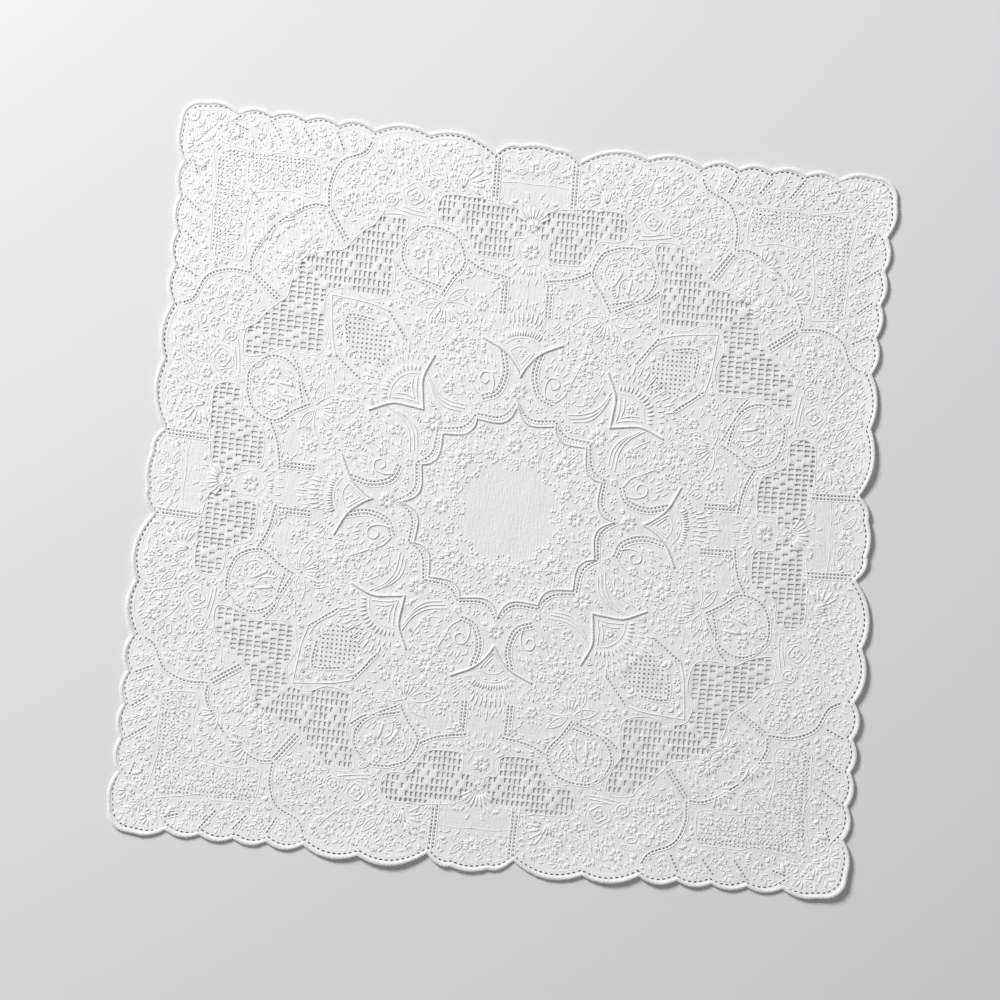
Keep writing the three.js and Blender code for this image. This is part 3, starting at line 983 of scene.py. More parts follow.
def petal_shape(name, stations, across):
    """A closed padded leaf from 0 to 1 along x. Each station has its place and half width, and
    across is the places over its width with their heights."""
    points, faces = [(0, 0, 0.1), (1, 0, 0.1)], []
    count = len(across)
    for x, half, full in stations:
        points += [(x, half * side, full * high) for side, high in across]
    for station in range(len(stations) - 1):
        here = 2 + station * count
        for side in range(count - 1):
            faces.append((here + side, here + count + side, here + count + side + 1, here + side + 1))
        faces.append((here + count - 1, here + 2 * count - 1, here + count, here))
    last = 2 + (len(stations) - 1) * count
    for side in range(count - 1):
        faces.append((0, 2 + side, 2 + side + 1))
        faces.append((1, last + side + 1, last + side))
    faces.append((0, 1 + count, 2))
    faces.append((1, last, last + count - 1))
    mesh = bpy.data.meshes.new(name)
    mesh.from_pydata(points, [], faces)
    return bpy.data.objects.new(name, mesh)


# A leaf's two stations along it and its shape across, and a knot's sections
LEAF_STATIONS = ((0.24, 0.85, 0.9), (0.7, 0.85, 0.9))
OVER = ((-1, -0.25), (-0.5, 0.95), (0.5, 0.95), (1, -0.25))
KNOT_SECTIONS = ((-0.55, 0.84), (0.55, 0.84))
KNOT_SINK = 0.3
# Shapes whose middles are this close stand in one spot
SAME_SPOT = 0.5
leaf = petal_shape("leaf", LEAF_STATIONS, OVER)
knot = lens("knot", KNOT_SECTIONS, STITCH_SIDES, KNOT_SINK)


def on_points(name, shapes):
    """A mesh of points with the turn and size of what stands on each: base, tip, width, rise."""
    base = np.array([shape[0] for shape in shapes], float)
    tip = np.array([shape[1] for shape in shapes], float)
    way = tip - base
    turn = np.arctan2(way[:, 1], way[:, 0])
    size = np.column_stack([np.hypot(*way.T), [s[2] / 2 for s in shapes], [s[3] for s in shapes]])
    mesh = bpy.data.meshes.new(name + "_points")
    mesh.from_pydata(np.column_stack([base, np.zeros(len(base))]).tolist(), [], [])
    mesh.attributes.new("turn", "FLOAT", "POINT").data.foreach_set("value", turn.astype(np.float32))
    sizes = mesh.attributes.new("size", "FLOAT_VECTOR", "POINT")
    sizes.data.foreach_set("vector", size.astype(np.float32).ravel())
    return mesh


def whole(shapes):
    """Shapes of one eighth of the pattern in all their places, without doubling any on a line of
    symmetry."""
    made = {}
    for base, tip, width, rise in shapes:
        for ends in eight_times([base, tip]):
            key = tuple(np.round(ends.mean(axis=0) / SAME_SPOT))
            made.setdefault(key, (ends[0], ends[1], width, rise))
    return list(made.values())


# No two stitches are quite the same: the least and most of a stitch's width and a leaf's length,
# a fan's and a petal's reach, and the way that a leaf leans
STITCH_SEED = 11
STITCH_SWAY = (0.85, 1.15)
FAN_SWAY = (0.94, 1.04)
PETAL_SWAY = (0.92, 1.05)
LEAN_SWAY = (0.8, 1.2)
# A petal's three stitches: the side of each and how far it reaches, how far the outer two lean out
# at the tip and at the base, how full they leave the ring, and the least width of one
PETAL_STITCHES = ((-1, 0.84), (0, 1), (1, 0.84))
PETAL_SPREAD = (0.25, 0.12)
PETAL_FULLNESS = 0.68
LEAST_STITCH = 0.7
HEART_SIZE = 1.1
RING_STEP = 0.7
# The stem of a spray, and the outline, vein and stitches of a broad leaf: width and rise
SPRAY_STEM = (0.5, 0.08)
BROAD_OUTLINE = (0.6, 0.1)
BROAD_VEIN = (0.45, 0.05)
BROAD_STITCH = (0.7, 0.25)
# Where along its vein a broad leaf's stitches stand
VEIN_PARTS = (0.25, 0.5, 0.72)
leaves, knots, stems = [], [], []
chance = np.random.default_rng(STITCH_SEED)


def strokes(rows, width=1.1, rise=0.34):
    """Single stitches or narrow leaves, each from its base to its tip."""
    for x, y, tip_x, tip_y in rows:
        leaves.append(((x, y), (tip_x, tip_y), width * chance.uniform(*STITCH_SWAY), rise))


def dots(places, width=1.0, rise=0.35):
    for x, y in places:
        knots.append(((x, y), (x + width / 2, y), width, rise))


def fan(x, y, near, far, middle, spread, count, width, rise=0.4, kind=None):
    """Strokes that stand round a centre, over an angle on both sides of its middle."""
    kind = leaves if kind is None else kind
    for angle in np.radians(np.linspace(middle - spread, middle + spread, count)):
        way = np.array([math.cos(angle), math.sin(angle)])
        centre = np.array([x, y])
        far_now = far * chance.uniform(*FAN_SWAY)
        kind.append((centre + way * near, centre + way * far_now, width, rise))


def flower(x, y, radius, count, turn=90.0, heart=0.26, rise=0.42):
    """Petals of three stitches each round a ring of knots. The first points the way of turn."""
    step = 360 / count
    width = max(LEAST_STITCH, 2 * math.pi * radius * PETAL_FULLNESS / (3 * count))
    for number in range(count):
        for side, reach in PETAL_STITCHES:
            angle = math.radians(turn + (number + side * PETAL_SPREAD[0]) * step)
            start = math.radians(turn + (number + side * PETAL_SPREAD[1]) * step)
            base = (x + radius * heart * math.cos(start), y + radius * heart * math.sin(start))
            far = radius * reach * chance.uniform(*PETAL_SWAY)
            leaves.append((base, (x + far * math.cos(angle), y + far * math.sin(angle)), width, rise))
    dots([(x, y)], radius * heart * HEART_SIZE, rise)


def ring(x, y, radius, width=0.55, rise=0.09, squash=1.0, turn=0.0, notch=0.0, lobes=5):
    """A line of outline stitch round a centre, in lobes where it has a notch."""
    angle = np.arange(0, 2 * math.pi, RING_STEP / radius)
    far = radius * (1 - notch * (0.5 - 0.5 * np.cos(angle * lobes)))
    along, over = far * np.cos(angle), far * squash * np.sin(angle)
    cos, sin = math.cos(math.radians(turn)), math.sin(math.radians(turn))
    run = np.column_stack([x + along * cos - over * sin, y + along * sin + over * cos])
    stems.append((run, width, rise, True))


def line(through, width=0.55, rise=0.09):
    stems.append((smooth(through, DRAWN_STEP), width, rise, False))


def spray(through, count, length, width, rise=0.34, spread=48, tip=True):
    """A curved stem with leaves on both sides, and one at its tip."""
    run = smooth(through, DRAWN_STEP)
    stems.append((run, *SPRAY_STEM, False))
    places, ways = spaced(run, np.hypot(*np.diff(run, axis=0).T).sum() / count)
    for place, way in zip(places, ways):
        for side in (1, -1):
            angle = math.radians(spread * side * chance.uniform(*LEAN_SWAY))
            out = np.array([
                way[0] * math.cos(angle) - way[1] * math.sin(angle),
                way[0] * math.sin(angle) + way[1] * math.cos(angle),
            ])
            reach = length * chance.uniform(*STITCH_SWAY)
            leaves.append((place + out * 0.3, place + out * reach, width, rise))
    if tip:
        leaves.append((run[-1], run[-1] + ways[-1] * length, width, rise))


def veined(x, y, tip_x, tip_y, width):
    """A broad leaf: an outline of stitches round a middle vein."""
    way = np.array([tip_x - x, tip_y - y])
    side = np.array([-way[1], way[0]]) / np.hypot(*way) * width / 2
    base, tip = np.array([x, y]), np.array([tip_x, tip_y])
    for sign in (1, -1):
        belly = base + way * 0.35 + side * sign
        shoulder = base + way * 0.75 + side * sign * 0.7
        stems.append((smooth([base, belly, shoulder, tip], DRAWN_STEP), *BROAD_OUTLINE, False))
    for part in VEIN_PARTS:
        for sign in (1, -1):
            spot = base + way * part
            leaves.append((spot, spot + way * 0.14 + side * sign * 0.7, *BROAD_STITCH))
    stems.append((smooth([base, tip], DRAWN_STEP), *BROAD_VEIN, False))


# The garland round the plain middle
flower(0, 37, 5.2, 8)
flower(27.2, 27.2, 6.4, 5, turn=45)
ring(27.2, 27.2, 3.4, notch=0.2)
flower(18, 44.5, 3.4, 5, turn=20)
flower(12.5, 31, 3.6, 5)
spray([(3, 31.5), (6, 29), (9.5, 29)], 2, 2.8, 1.1)
spray([(15.5, 31), (19, 32), (22.5, 29.5)], 3, 3.0, 1.2)
spray([(5, 40), (9.5, 43), (14, 44.5)], 3, 2.6, 1.1)
spray([(22, 42), (27, 40), (32, 36)], 4, 2.6, 1.1)
strokes([
    (31, 31, 36.5, 36.5), (8, 36, 11, 38), (12, 36, 13, 39.5), (15, 36.5, 18, 38.5),
    (19, 36, 22, 37.5), (24, 34.5, 26, 37), (4, 45, 6, 47.5), (9, 26.5, 12, 26), (16, 27, 19, 25.5),
])

# The ring's points and the cells of scrolls outside it. Short rungs join its cord to its ladder.
for _, _, through in CORDS[:2]:
    for place, way in zip(*spaced(smooth(through), 1.65)):
        out = np.array([-way[1], way[0]])
        leaves.append((place + out * 0.9, place + out * 2.2, 0.75, 0.4))
flower(0, 66.5, 5.2, 8)
flower(45.3, 45.3, 6.0, 8, turn=45)
flower(21.8, 56.6, 2.6, 5)
line([(15, 63.5), (14, 69), (16, 74.5), (20.5, 75), (22, 71), (18.5, 69), (17, 71.5)], 0.8, 0.2)
line([(20, 62), (25, 66), (27, 71), (30, 77), (33, 84)], 0.7, 0.16)
flower(36.5, 88.5, 5.6, 6, turn=10)
flower(32.5, 80, 4.2, 5, turn=40)
flower(26.5, 71.5, 3.4, 5, turn=15)
flower(39, 65, 4.0, 5, turn=0)
strokes([
    (23, 76, 26.5, 79), (22, 79, 24, 83.5), (28, 83, 25.5, 86.5), (18, 79, 20, 84),
    (16, 83, 18.5, 87), (33, 72, 37, 74), (36, 77, 40.5, 78), (40, 82, 43, 84), (34, 67, 30, 66),
    (41, 70, 44, 73), (29, 62, 32, 65), (44, 78, 46, 82), (14, 78, 15, 82),
], 1.3)
line([(31, 62), (36, 62), (42, 67), (46, 74)], 0.6)

# The fans on the axes and on the diagonals
fan(0, 80, 16.3, 20, 90, 30, 14, 1.05, 0.62)
fan(0, 80, 21.5, 24.6, 90, 36, 12, 0.9, 0.4)
fan(0, 80, 23.5, 29.5, 90, 19, 8, 1.2, 0.5)
fan(0, 80, 30.5, 34.5, 90, 17, 5, 1.1, 0.4)
strokes([(8, 108, 7, 112.5), (4, 111, 3, 116), (0, 112, 0, 118), (18, 98, 22, 101), (16, 102, 19, 106)])
fan(57, 57, 14.8, 19.2, 45, 50, 14, 1.05, 0.62)
fan(57, 57, 20.6, 24.5, 45, 46, 13, 0.9, 0.4)
fan(57, 57, 24, 30, 45, 34, 9, 1.2, 0.45)
line([(75, 102), (84, 104.5), (96, 106), (107, 107)], 0.8)
line([(66, 88), (72, 97), (79, 101)], 0.7)
strokes([(71, 78, 74, 82), (68, 84, 71, 87), (76, 74, 79, 78)])

# The buds over the scrolls, and the small flowers of the field
veined(44, 111, 33, 118.5, 4.2)
veined(47, 110, 60, 107, 5.0)
fan(45, 110, 3, 12, 255, 42, 6, 1.2, 0.36)
line([(44, 110), (38, 110.5), (32, 109), (26.3, 104.3)])
line([(49, 108), (53, 101), (51, 93)])
flower(24, 110.5, 4.0, 6, turn=0)
strokes([
    (20, 104, 17, 101), (22, 104, 22, 100), (26, 104, 28, 100.5), (28, 113, 31, 114.5),
    (20, 115, 18.5, 118),
])
spray([(19, 97), (24, 99), (29, 98)], 3, 2.4, 1.0)
flower(57.5, 97.5, 3.6, 6)
spray([(60, 90), (56, 92), (51, 91)], 3, 2.6, 1.0)
strokes([
    (61, 101, 64.5, 103), (62, 96, 66, 96.5), (54, 103, 56, 106), (66, 107, 70, 109),
    (70, 112, 73, 115), (62, 112, 65, 114.5), (44, 92, 47, 88), (40, 96, 43, 98.5),
    (34, 97, 38, 95), (30, 93, 32, 97),
])
flower(66, 116.5, 2.8, 5)

# The round medallions between the panels
leaves.append(((46.3, 126.3), (52.3, 137), 2.2, 0.5))
leaves.append(((55.2, 122.3), (57.2, 134.5), 2.2, 0.5))
line([(44, 129), (41.5, 134), (43.5, 139), (48, 140.5)], 0.7)
line([(50, 123), (50.5, 130), (54, 133)], 0.7)
flower(61.5, 134.5, 4.2, 6)
strokes([
    (59, 124, 61, 129), (62, 125, 65, 129), (48, 121, 51, 124), (42, 138, 44, 141.5),
    (60, 139.5, 63, 143), (47, 142, 50, 144.5), (64.5, 139, 67.5, 140),
], 1.2)
flower(56.9, 145, 3.0, 6)
veined(60.5, 147.5, 66, 151, 2.8)
veined(63, 145.5, 67.5, 141, 2.6)

# The cartouches on the axes
flower(0, 142, 5.4, 8)
ring(0, 142, 7.4, 0.45, 0.03, squash=1.15, notch=0.16, lobes=7)
fan(0, 142, 9.6, 13.5, -90, 62, 9, 1.2)
flower(15, 122.5, 3.2, 5)
strokes([
    (18, 123, 22, 124.5), (17, 120, 20, 117.5), (16, 126, 21, 125.5), (24, 126, 28, 127),
    (29, 128, 31, 124.5), (5, 128, 4, 124), (0, 128, 0, 122.5), (8, 127, 9, 123),
])
fan(0, 156, 3.5, 11.5, 90, 62, 9, 1.6, 0.42)
flower(0, 155, 3.4, 6)
strokes([(6, 166, 8, 169.5), (11, 165.5, 14, 167.5), (3, 170.5, 4, 173)])

# The lobes in the middle of each side
flower(0, 188, 5.4, 6, rise=0.28)
ring(0, 188, 2.6, notch=0.15)
veined(5, 187, 11.5, 193.5, 3.4)
veined(5, 186, 12.5, 184, 3.2)
strokes([
    (7, 181, 9.5, 183), (13, 187, 16.5, 189), (12, 181, 16, 182.5), (3, 195, 5, 198),
    (9, 196, 12, 195.5), (15, 192, 17.5, 193.5), (3, 172.5, 5.5, 174), (26, 168, 28, 171),
])

# The large cartouches of the border
fan(40, 175.5, 4, 12.5, 168, 44, 5, 1.8, 0.42)
fan(40, 171.5, 0.5, 9, 92, 18, 3, 1.6, 0.45)
strokes([
    (41.8, 189, 41.7, 193), (36, 194.5, 40, 195), (42, 195, 46, 195.3), (44.5, 197.5, 47, 196),
    (49, 176, 51.3, 182), (55.5, 186.4, 50.5, 184), (36, 186, 39, 188.5), (30, 187, 33, 190),
    (28, 168.5, 32, 168), (35, 167, 39, 168.5), (45, 186, 46.5, 190), (49, 189, 53, 192),
    (56, 190, 57.5, 195), (26, 179, 29, 178.5),
], 1.3)
flower(46.5, 183.5, 3.2, 5)
veined(53, 178, 60.5, 186.5, 3.8)
veined(59.5, 178.5, 64.5, 184.5, 3.0)
flower(49.2, 173.3, 2.9, 5)
flower(56.8, 173, 3.8, 6)
ring(56.8, 173, 2.0)
ring(66, 164.8, 7.4, 0.5, 0.06, notch=0.16, lobes=5, turn=18)
ring(66, 164.8, 5.0, 0.7, 0.12, notch=0.22, lobes=4, turn=10)
flower(66, 164.8, 3.4, 5)
line([(60.5, 156.5), (66, 157), (72.5, 158.5)], 0.7, 0.12)
line([(59, 154.3), (68, 155.3), (77, 157)], 0.7)
flower(65.2, 175.5, 2.8, 5)
strokes([
    (68.4, 187.3, 70.6, 190.8), (79, 189.5, 82, 194), (73, 175, 75.5, 179),
    (75.5, 164.6, 80.2, 166.6), (66, 190, 67, 194.5), (72, 193, 76, 195.5), (62, 189, 61, 193.5),
    (86, 189, 88, 192), (71, 180, 74, 183.5), (76, 170, 79, 172.5), (54, 164, 57, 167),
    (52, 168, 54.5, 170), (70, 171, 72.5, 172.5),
], 1.3)
flower(77.9, 187.5, 4.6, 7)
ring(79, 161.5, 3.6, 0.7)
flower(79, 161.5, 3.0, 5)
flower(84.7, 171.6, 3.9, 5)
ring(85.5, 178, 2.8, 0.7, squash=0.55, turn=-10)
veined(80, 181, 87, 183.8, 2.6)
line([(62, 176), (64, 184), (66, 189), (72, 191)], 0.6)
line([(70, 173), (77, 178), (84, 186)], 0.6)
spray([(88, 164), (93, 168), (99, 170)], 4, 3.0, 1.2)
spray([(80, 153), (88, 155), (95, 152)], 4, 3.0, 1.2)
flower(100.5, 160, 4.4, 6)
flower(90, 160, 2.8, 5)
strokes([
    (104, 164, 107, 167), (104, 156, 108, 155), (97, 148, 101, 147), (98, 175, 101, 176.5),
    (106, 172, 108.5, 169), (103, 146, 106, 149), (93, 146, 95, 143), (86, 168, 88, 172),
], 1.2)

# The lobes of the border towards the corner
spray([(100, 183), (103, 188), (103, 194)], 4, 3.2, 1.3)
spray([(115, 183), (118, 188), (121, 194)], 4, 3.2, 1.3)
spray([(133, 184), (136.5, 189), (139, 194.5)], 4, 3.4, 1.3)
spray([(150, 184.5), (155, 189), (160, 195)], 4, 3.4, 1.3)
flower(135.5, 186, 2.7, 6)
flower(154, 186.2, 3.0, 6)
flower(117, 187, 2.6, 5)
strokes([
    (143, 190, 146, 193.5), (109, 187, 111, 190), (126, 190, 128, 194), (147, 184.5, 150, 183.5),
    (96, 191, 98, 195), (144.5, 184, 142.5, 182),
], 1.2)
leaves.append(((166, 183.5), (168.2, 190.2), 3.8, 0.5))

# The corner
spray([(180, 180), (184, 185), (188.5, 189), (192, 192)], 4, 5.0, 1.6)
ring(166.5, 192, 4.4, 0.5, 0.05, squash=0.75, turn=60)
fan(178, 191, 1, 6.5, 60, 62, 5, 1.4)
strokes([
    (184, 193, 186, 197.5), (189.5, 195, 192.5, 198), (176, 186, 173, 189), (171, 183, 175, 184.5),
    (181.5, 188, 179, 192),
], 1.3)
flower(122.3, 131.2, 7.6, 8, turn=45, heart=0.3)
ring(122.3, 131.2, 2.6, 0.8)
fan(128, 145, 3, 11, 40, 52, 6, 1.5)
strokes([
    (116, 146, 119, 148.5), (120, 143, 124, 146.5), (116, 139, 118, 143), (112, 136, 113.5, 140.5),
    (109, 131, 112, 133), (125, 139, 129, 141), (119, 123, 121, 119.5), (131.5, 131.5, 136, 136),
    (133, 146, 137, 150),
], 1.4)
spray([(150, 150), (157, 157)], 2, 3.0, 1.3)
strokes([(146, 152, 149, 156.5), (141, 150, 143, 154), (140, 146, 144.5, 148)], 1.3)

# The filled bands of the corner: short stitches that lean one way and the other, with dots
STITCH_COLUMNS = (121.2, 174, 2.15)
STITCH_ROWS = (162.4, 165, 167.6, 170.2, 172.6)
STITCH_SHIFT = 0.6
# The two ways that they lean, in degrees, and how much each one differs
STITCH_LEANS = ((128, 18), (62, 16))
STITCH_REACH = (0.9, 1.7)
STITCH_RISE = (0.2, 0.42)
STITCH_WIDTH = 0.95
DOT_SHARE = 0.4
DOT_OFFSET = (1.1, 0.5)
DOT_ROW = (122, 174, 1.6)
DOT_ROW_OUT = 178.7
for number, x in enumerate(np.arange(*STITCH_COLUMNS)):
    for row, y in enumerate(STITCH_ROWS):
        if x > y + 1:
            continue
        centre = np.array([x, y]) + chance.uniform(-STITCH_SHIFT, STITCH_SHIFT, 2)
        lean = math.radians(chance.normal(*STITCH_LEANS[(number // 2 + row) % 2]))
        reach = chance.uniform(*STITCH_REACH) * np.array([math.cos(lean), math.sin(lean)])
        leaves.append((centre - reach, centre + reach, STITCH_WIDTH, chance.uniform(*STITCH_RISE)))
        if chance.random() < DOT_SHARE:
            dots([centre + DOT_OFFSET], width=0.7, rise=0.28)
dots([(x, DOT_ROW_OUT) for x in np.arange(*DOT_ROW)], width=0.6, rise=0.15)

# Small scattered sprigs
# Short stitches, little flowers and curved stems fill the ground between the larger motifs, in
# no fixed order. They keep clear of everything that is worked before them.
# Ground that is taken is marked in cells this wide, out to this reach
TAKEN_CELL = 0.5
TAKEN_REACH = 230
# How many are tried, and the room round each: a sprig's, and a single stitch's
SPRIG_TRIES = 20000
PACKING = (0.42, 0.3)
# The kinds that are tried first, for this share of the tries, and those that fill the rest
LARGE_SPRIGS = ("stem", "flower", "fan")
SMALL_SPRIGS = ("stem", "fan", "pair", "one", "one")
LARGE_SHARE = 0.3
# The box that they stand in, the way that they lean in radians, and how wide and high they are
SPRIG_GROUND = ((0, 24), (190, 197))
SPRIG_LEAN = (0.9, 0.75)
SPRIG_WIDTH = (0.75, 1.45)
SPRIG_RISE = (0.27, 0.55)
SPRIG_STEM = (0.5, 0.1)
# How far a stem bends to either side, and the least and most of its length
STEM_BEND = 2.4
STEM_LENGTH = (5, 11)
# A stem's leaves reach on by the first of these, and out by the second or at its tip the third
STEM_LEAF = (1.5, 1.7, 0.4)
# How often a flower has a sixth petal, how far its petals reach, and where they start
SIXTH_PETAL = 0.4
FLOWER_REACH = (1.9, 2.6)
FLOWER_HEART = 0.5
# A fan's angles in radians, the reach of a fan, of a pair and of a single stitch, and how far
# from their middle the two of a pair stand
FAN_ANGLES = (-0.62, 0, 0.62)
FAN_REACH = (2.3, 3.6)
PAIR_REACH = (2.2, 3.4)
PAIR_APART = 0.9
ONE_REACH = (1.4, 2.8)
# The room that each kind of work keeps round it: narrow and wide ladders, cords, single lines,
# petals, stems, spots of ground, the panels and the rim
LADDER_ROOM = (1.3, 2.4)
CORD_ROOM = 1.5
LINE_ROOM = 0.8
PETAL_ROOM = 0.4
STEM_ROOM = 0.5
SPOT_ROOM = 0.2
PANEL_ROOM = 1.2
RIM_ROOM = 5.6
# Spots that are left plain: x, y and reach
PLAIN_SPOTS = [
    (0, 0, 23), (8, 24, 4), (14, 176, 5.5), (4, 176, 5), (0, 123, 5.5), (6, 120, 4), (60, 99, 4.5),
    (66, 96, 5), (101, 146, 4), (95, 148, 3.5), (124, 124, 9), (117, 121, 6), (112, 138, 3),
    (32, 96, 3), (24, 122, 5.5), (30, 121, 4), (46, 48, 3), (44, 66, 3.5), (131, 137, 3),
    (58, 104, 3),
]
cells = round(TAKEN_REACH / TAKEN_CELL)
taken = np.zeros((cells, cells), bool)


def folded(points):
    """Where points fall in the one eighth of the pattern that all the others repeat."""
    return np.sort(np.abs(np.atleast_2d(np.asarray(points, float))), axis=1)


def mark(points, reach):
    for x, y in folded(points) / TAKEN_CELL:
        far = reach / TAKEN_CELL
        across = slice(max(0, round(x - far)), round(x + far) + 1)
        taken[across, max(0, round(y - far)):round(y + far) + 1] = True


def is_free(points):
    cell = np.round(folded(points) / TAKEN_CELL).astype(int)
    return not taken[cell[:, 0], cell[:, 1]].any()


for (rails, _), through in LADDERS:
    mark(smooth(through), LADDER_ROOM[rails is not NARROW[0]])
for width, _, through in CORDS:
    mark(smooth(through), CORD_ROOM)
for width, through in SINGLE_LINES:
    mark(smooth(through), LINE_ROOM)
for base, tip, width, rise in leaves:
    mark(np.linspace(base, tip, 5), PETAL_ROOM)
for base, tip, width, rise in knots:
    mark([base], width / 2)
for run, *_ in stems:
    mark(run, STEM_ROOM)
steps = np.arange(0, BEYOND, TAKEN_CELL)
ground = np.array([(x, y) for x in steps for y in steps if x <= y + 1])
for panel in (side_panels[0], diagonal_panels[0]):
    mark(ground[inside(ground, moved_out(panel, PANEL_ROOM))], SPOT_ROOM)
mark(ground[~inside(ground, outline(RIM_ROOM))], SPOT_ROOM)
in_pulled = (ground[:, 0] > PULLED_GROUND[0]) & (np.abs(ground[:, 0] - ground[:, 1]) < PULLED_HALF_WIDTH)
mark(ground[in_pulled & (ground.sum(axis=1) < PULLED_GROUND[1])], SPOT_ROOM)
for x, y, reach in PLAIN_SPOTS:
    mark(ground[np.hypot(ground[:, 0] - x, ground[:, 1] - y) < reach], SPOT_ROOM)

sprigs = []
sprig_lines = []


def place_sprig(x, y, heading, kind):
    """One small sprig of a kind at a spot, facing a heading, if it has room."""
    way = np.array([math.cos(heading), math.sin(heading)])
    side = np.array([-way[1], way[0]])
    middle = np.array([x, y])
    run = None
    if kind == "stem":
        bend = chance.uniform(-STEM_BEND, STEM_BEND)
        reach = chance.uniform(*STEM_LENGTH)
        run = smooth([middle, middle + way * reach / 2 + side * bend, middle + way * reach], DRAWN_STEP)
        shapes = []
        pairs = round(reach / 2)
        for number in range(pairs + 1):
            spot = run[round(number / pairs * (len(run) - 1))]
            on, out, at_tip = STEM_LEAF
            turn = (out if number % 2 else -out) if number < pairs else at_tip
            shapes.append((spot, spot + way * on + side * turn))
    elif kind == "flower":
        petals = 5 + (chance.random() < SIXTH_PETAL)
        far = chance.uniform(*FLOWER_REACH)
        turns = heading + np.arange(petals) * 2 * math.pi / petals
        ways = np.column_stack([np.cos(turns), np.sin(turns)])
        shapes = [(middle + each * FLOWER_HEART, middle + each * far) for each in ways]
    elif kind == "fan":
        turns = heading + np.array(FAN_ANGLES)
        ways = np.column_stack([np.cos(turns), np.sin(turns)])
        shapes = [(middle, middle + each * chance.uniform(*FAN_REACH)) for each in ways]
    elif kind == "pair":
        reach = way * chance.uniform(*PAIR_REACH)
        left, right = middle + side * PAIR_APART, middle - side * PAIR_APART
        shapes = [(left, left + reach), (right, right + reach)]
    else:
        shapes = [(middle, middle + way * chance.uniform(*ONE_REACH))]
    spots = [np.linspace(base, tip, 5) for base, tip in shapes]
    if run is not None:
        spots.append(run)
    spots = np.vstack(spots)
    if not is_free(spots):
        return
    mark(spots, PACKING[kind == "one"])
    width = chance.uniform(*SPRIG_WIDTH)
    rise = chance.uniform(*SPRIG_RISE)
    sprigs.extend((base, tip, width, rise) for base, tip in shapes)
    if run is not None:
        sprig_lines.append(run)


for number in range(SPRIG_TRIES):
    x, y = chance.uniform(*SPRIG_GROUND)
    if x > y:
        x, y = y, x
    kinds = LARGE_SPRIGS if number < SPRIG_TRIES * LARGE_SHARE else SMALL_SPRIGS
    kind = kinds[chance.integers(len(kinds))]
    lean = math.pi * round(chance.uniform(0, 2)) + chance.normal(*SPRIG_LEAN)
    place_sprig(x, y, lean, kind)

MIDDLE_REACH = 128.0
# A closed line whose middle is this near a line of symmetry is its own mirror image
ON_MIRROR = 0.3
all_sprigs = whole(sprigs)
for name, shapes in (
    ("leaves", whole(leaves)),
    ("sprigs_middle", [shape for shape in all_sprigs if np.abs(shape[0]).max() < MIDDLE_REACH]),
    ("sprigs_border", [shape for shape in all_sprigs if np.abs(shape[0]).max() >= MIDDLE_REACH]),
):
    show(name, grown(name, petalling, on_points(name, shapes), Petal=leaf, Material=thread), thread)
knot_points = on_points("knots", whole(knots))
show("knots", grown("knots", petalling, knot_points, Petal=knot, Material=thread), thread)
stem_lines = [(copy, *SPRIG_STEM, False) for run in sprig_lines for copy in eight_times(run)]
for run, width, rise, closed in stems:
    middle = run.mean(axis=0)
    mirrored = abs(middle[0]) < ON_MIRROR or abs(middle[0] - middle[1]) < ON_MIRROR
    copies = four_times(run) if mirrored and closed else eight_times(run)
    stem_lines += [(copy, width, rise, closed) for copy in copies]
show("stems", grown(
    "stems", lining, drawn_lines("stems", stem_lines), Step=LINE_STEP, Sides=LINE_SIDES, Material=thread,
), thread)

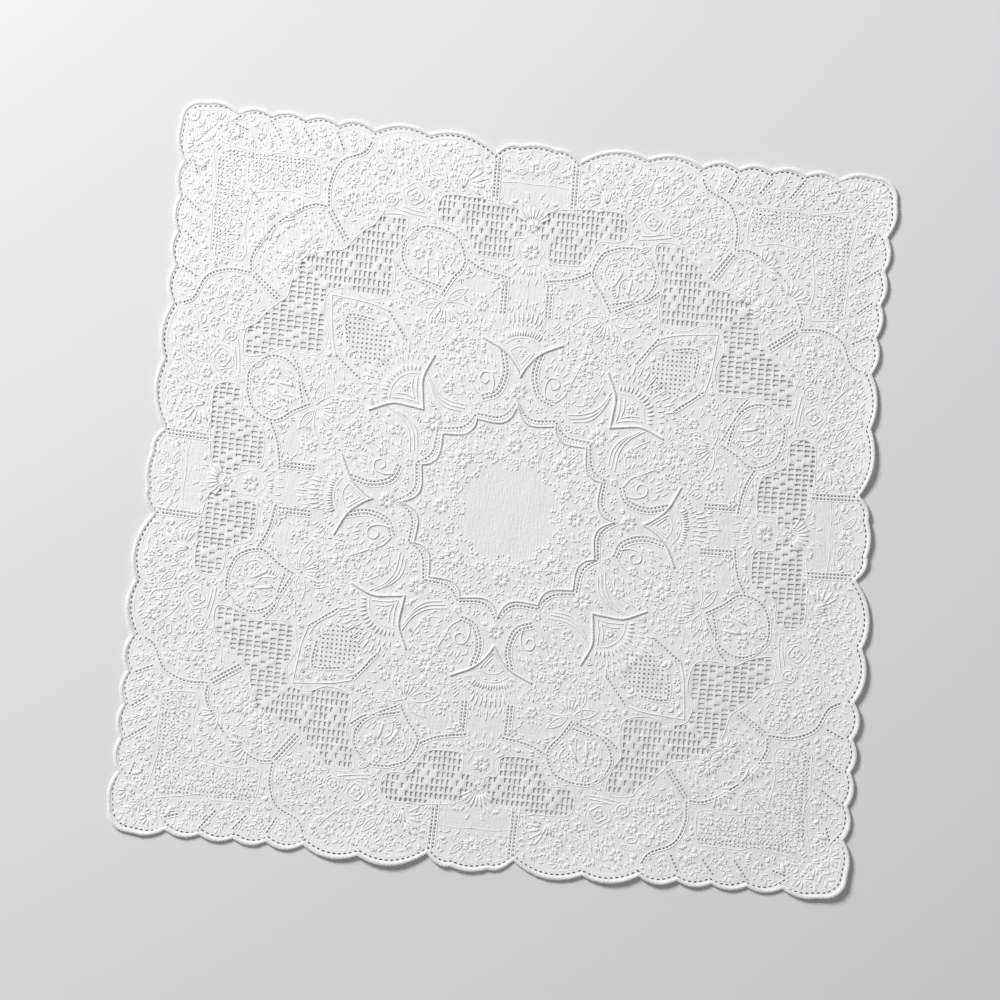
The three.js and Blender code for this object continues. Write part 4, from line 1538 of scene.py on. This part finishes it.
# The camera, floor and light
# The cloth lies on a plain pale table and is seen from straight above, turned a little. One
# large soft light stands off beyond the far left corner and white walls fill the shadows.
VIEW_TURN = math.radians(5.53)
VIEW_AIM = np.array([-4.06, 0.71])
VIEW_WIDTH = 0.5486
CAMERA_HEIGHT = 1.6
SENSOR = 36.0
camera_data = bpy.data.cameras.new("camera")
camera_data.sensor_width = SENSOR
camera_data.lens = SENSOR * CAMERA_HEIGHT / VIEW_WIDTH
camera = bpy.data.objects.new("camera", camera_data)
aim = (VIEW_AIM - BOX_CENTRE) * 0.001
camera.location = (aim[0], aim[1], CAMERA_HEIGHT)
camera.rotation_euler = (0, 0, VIEW_TURN)
bpy.context.scene.collection.objects.link(camera)
bpy.context.scene.camera = camera

FLOOR_SIZE = 6.0
TABLE_GREY = (0.78, 0.78, 0.78, 1)
floor_mesh = bpy.data.meshes.new("table_top")
corner = FLOOR_SIZE / 2
floor_mesh.from_pydata(
    [(-corner, -corner, 0), (corner, -corner, 0), (corner, corner, 0), (-corner, corner, 0)],
    [],
    [(0, 1, 2, 3)],
)
floor = bpy.data.objects.new("table_top", floor_mesh)
bpy.context.scene.collection.objects.link(floor)
table_top = bpy.data.materials.new("pale table top")
table_top.use_nodes = True
table_shader = table_top.node_tree.nodes["Principled BSDF"]
table_shader.inputs["Base Color"].default_value = TABLE_GREY
table_shader.inputs["Roughness"].default_value = 0.8
table_shader.inputs["Specular IOR Level"].default_value = 0.2
floor_mesh.materials.append(table_top)

# The light's place and size in metres and its power in watts, and how strong the fill is
KEY_PLACE = Vector((-1.58, 1.64, 1.54))
KEY_SIZE = 0.9
KEY_POWER = 87.0
FILL = 0.25
key_data = bpy.data.lights.new("key light", "AREA")
key_data.shape = "DISK"
key_data.size = KEY_SIZE
key_data.energy = KEY_POWER
key = bpy.data.objects.new("key light", key_data)
key.location = KEY_PLACE
key.rotation_mode = "QUATERNION"
key.rotation_quaternion = KEY_PLACE.to_track_quat("Z", "Y")
bpy.context.scene.collection.objects.link(key)

world = bpy.data.worlds.new("white walls")
world.use_nodes = True
world.node_tree.nodes["Background"].inputs["Color"].default_value = (1, 1, 1, 1)
world.node_tree.nodes["Background"].inputs["Strength"].default_value = FILL
bpy.context.scene.world = world
bpy.context.scene.view_settings.view_transform = "Standard"
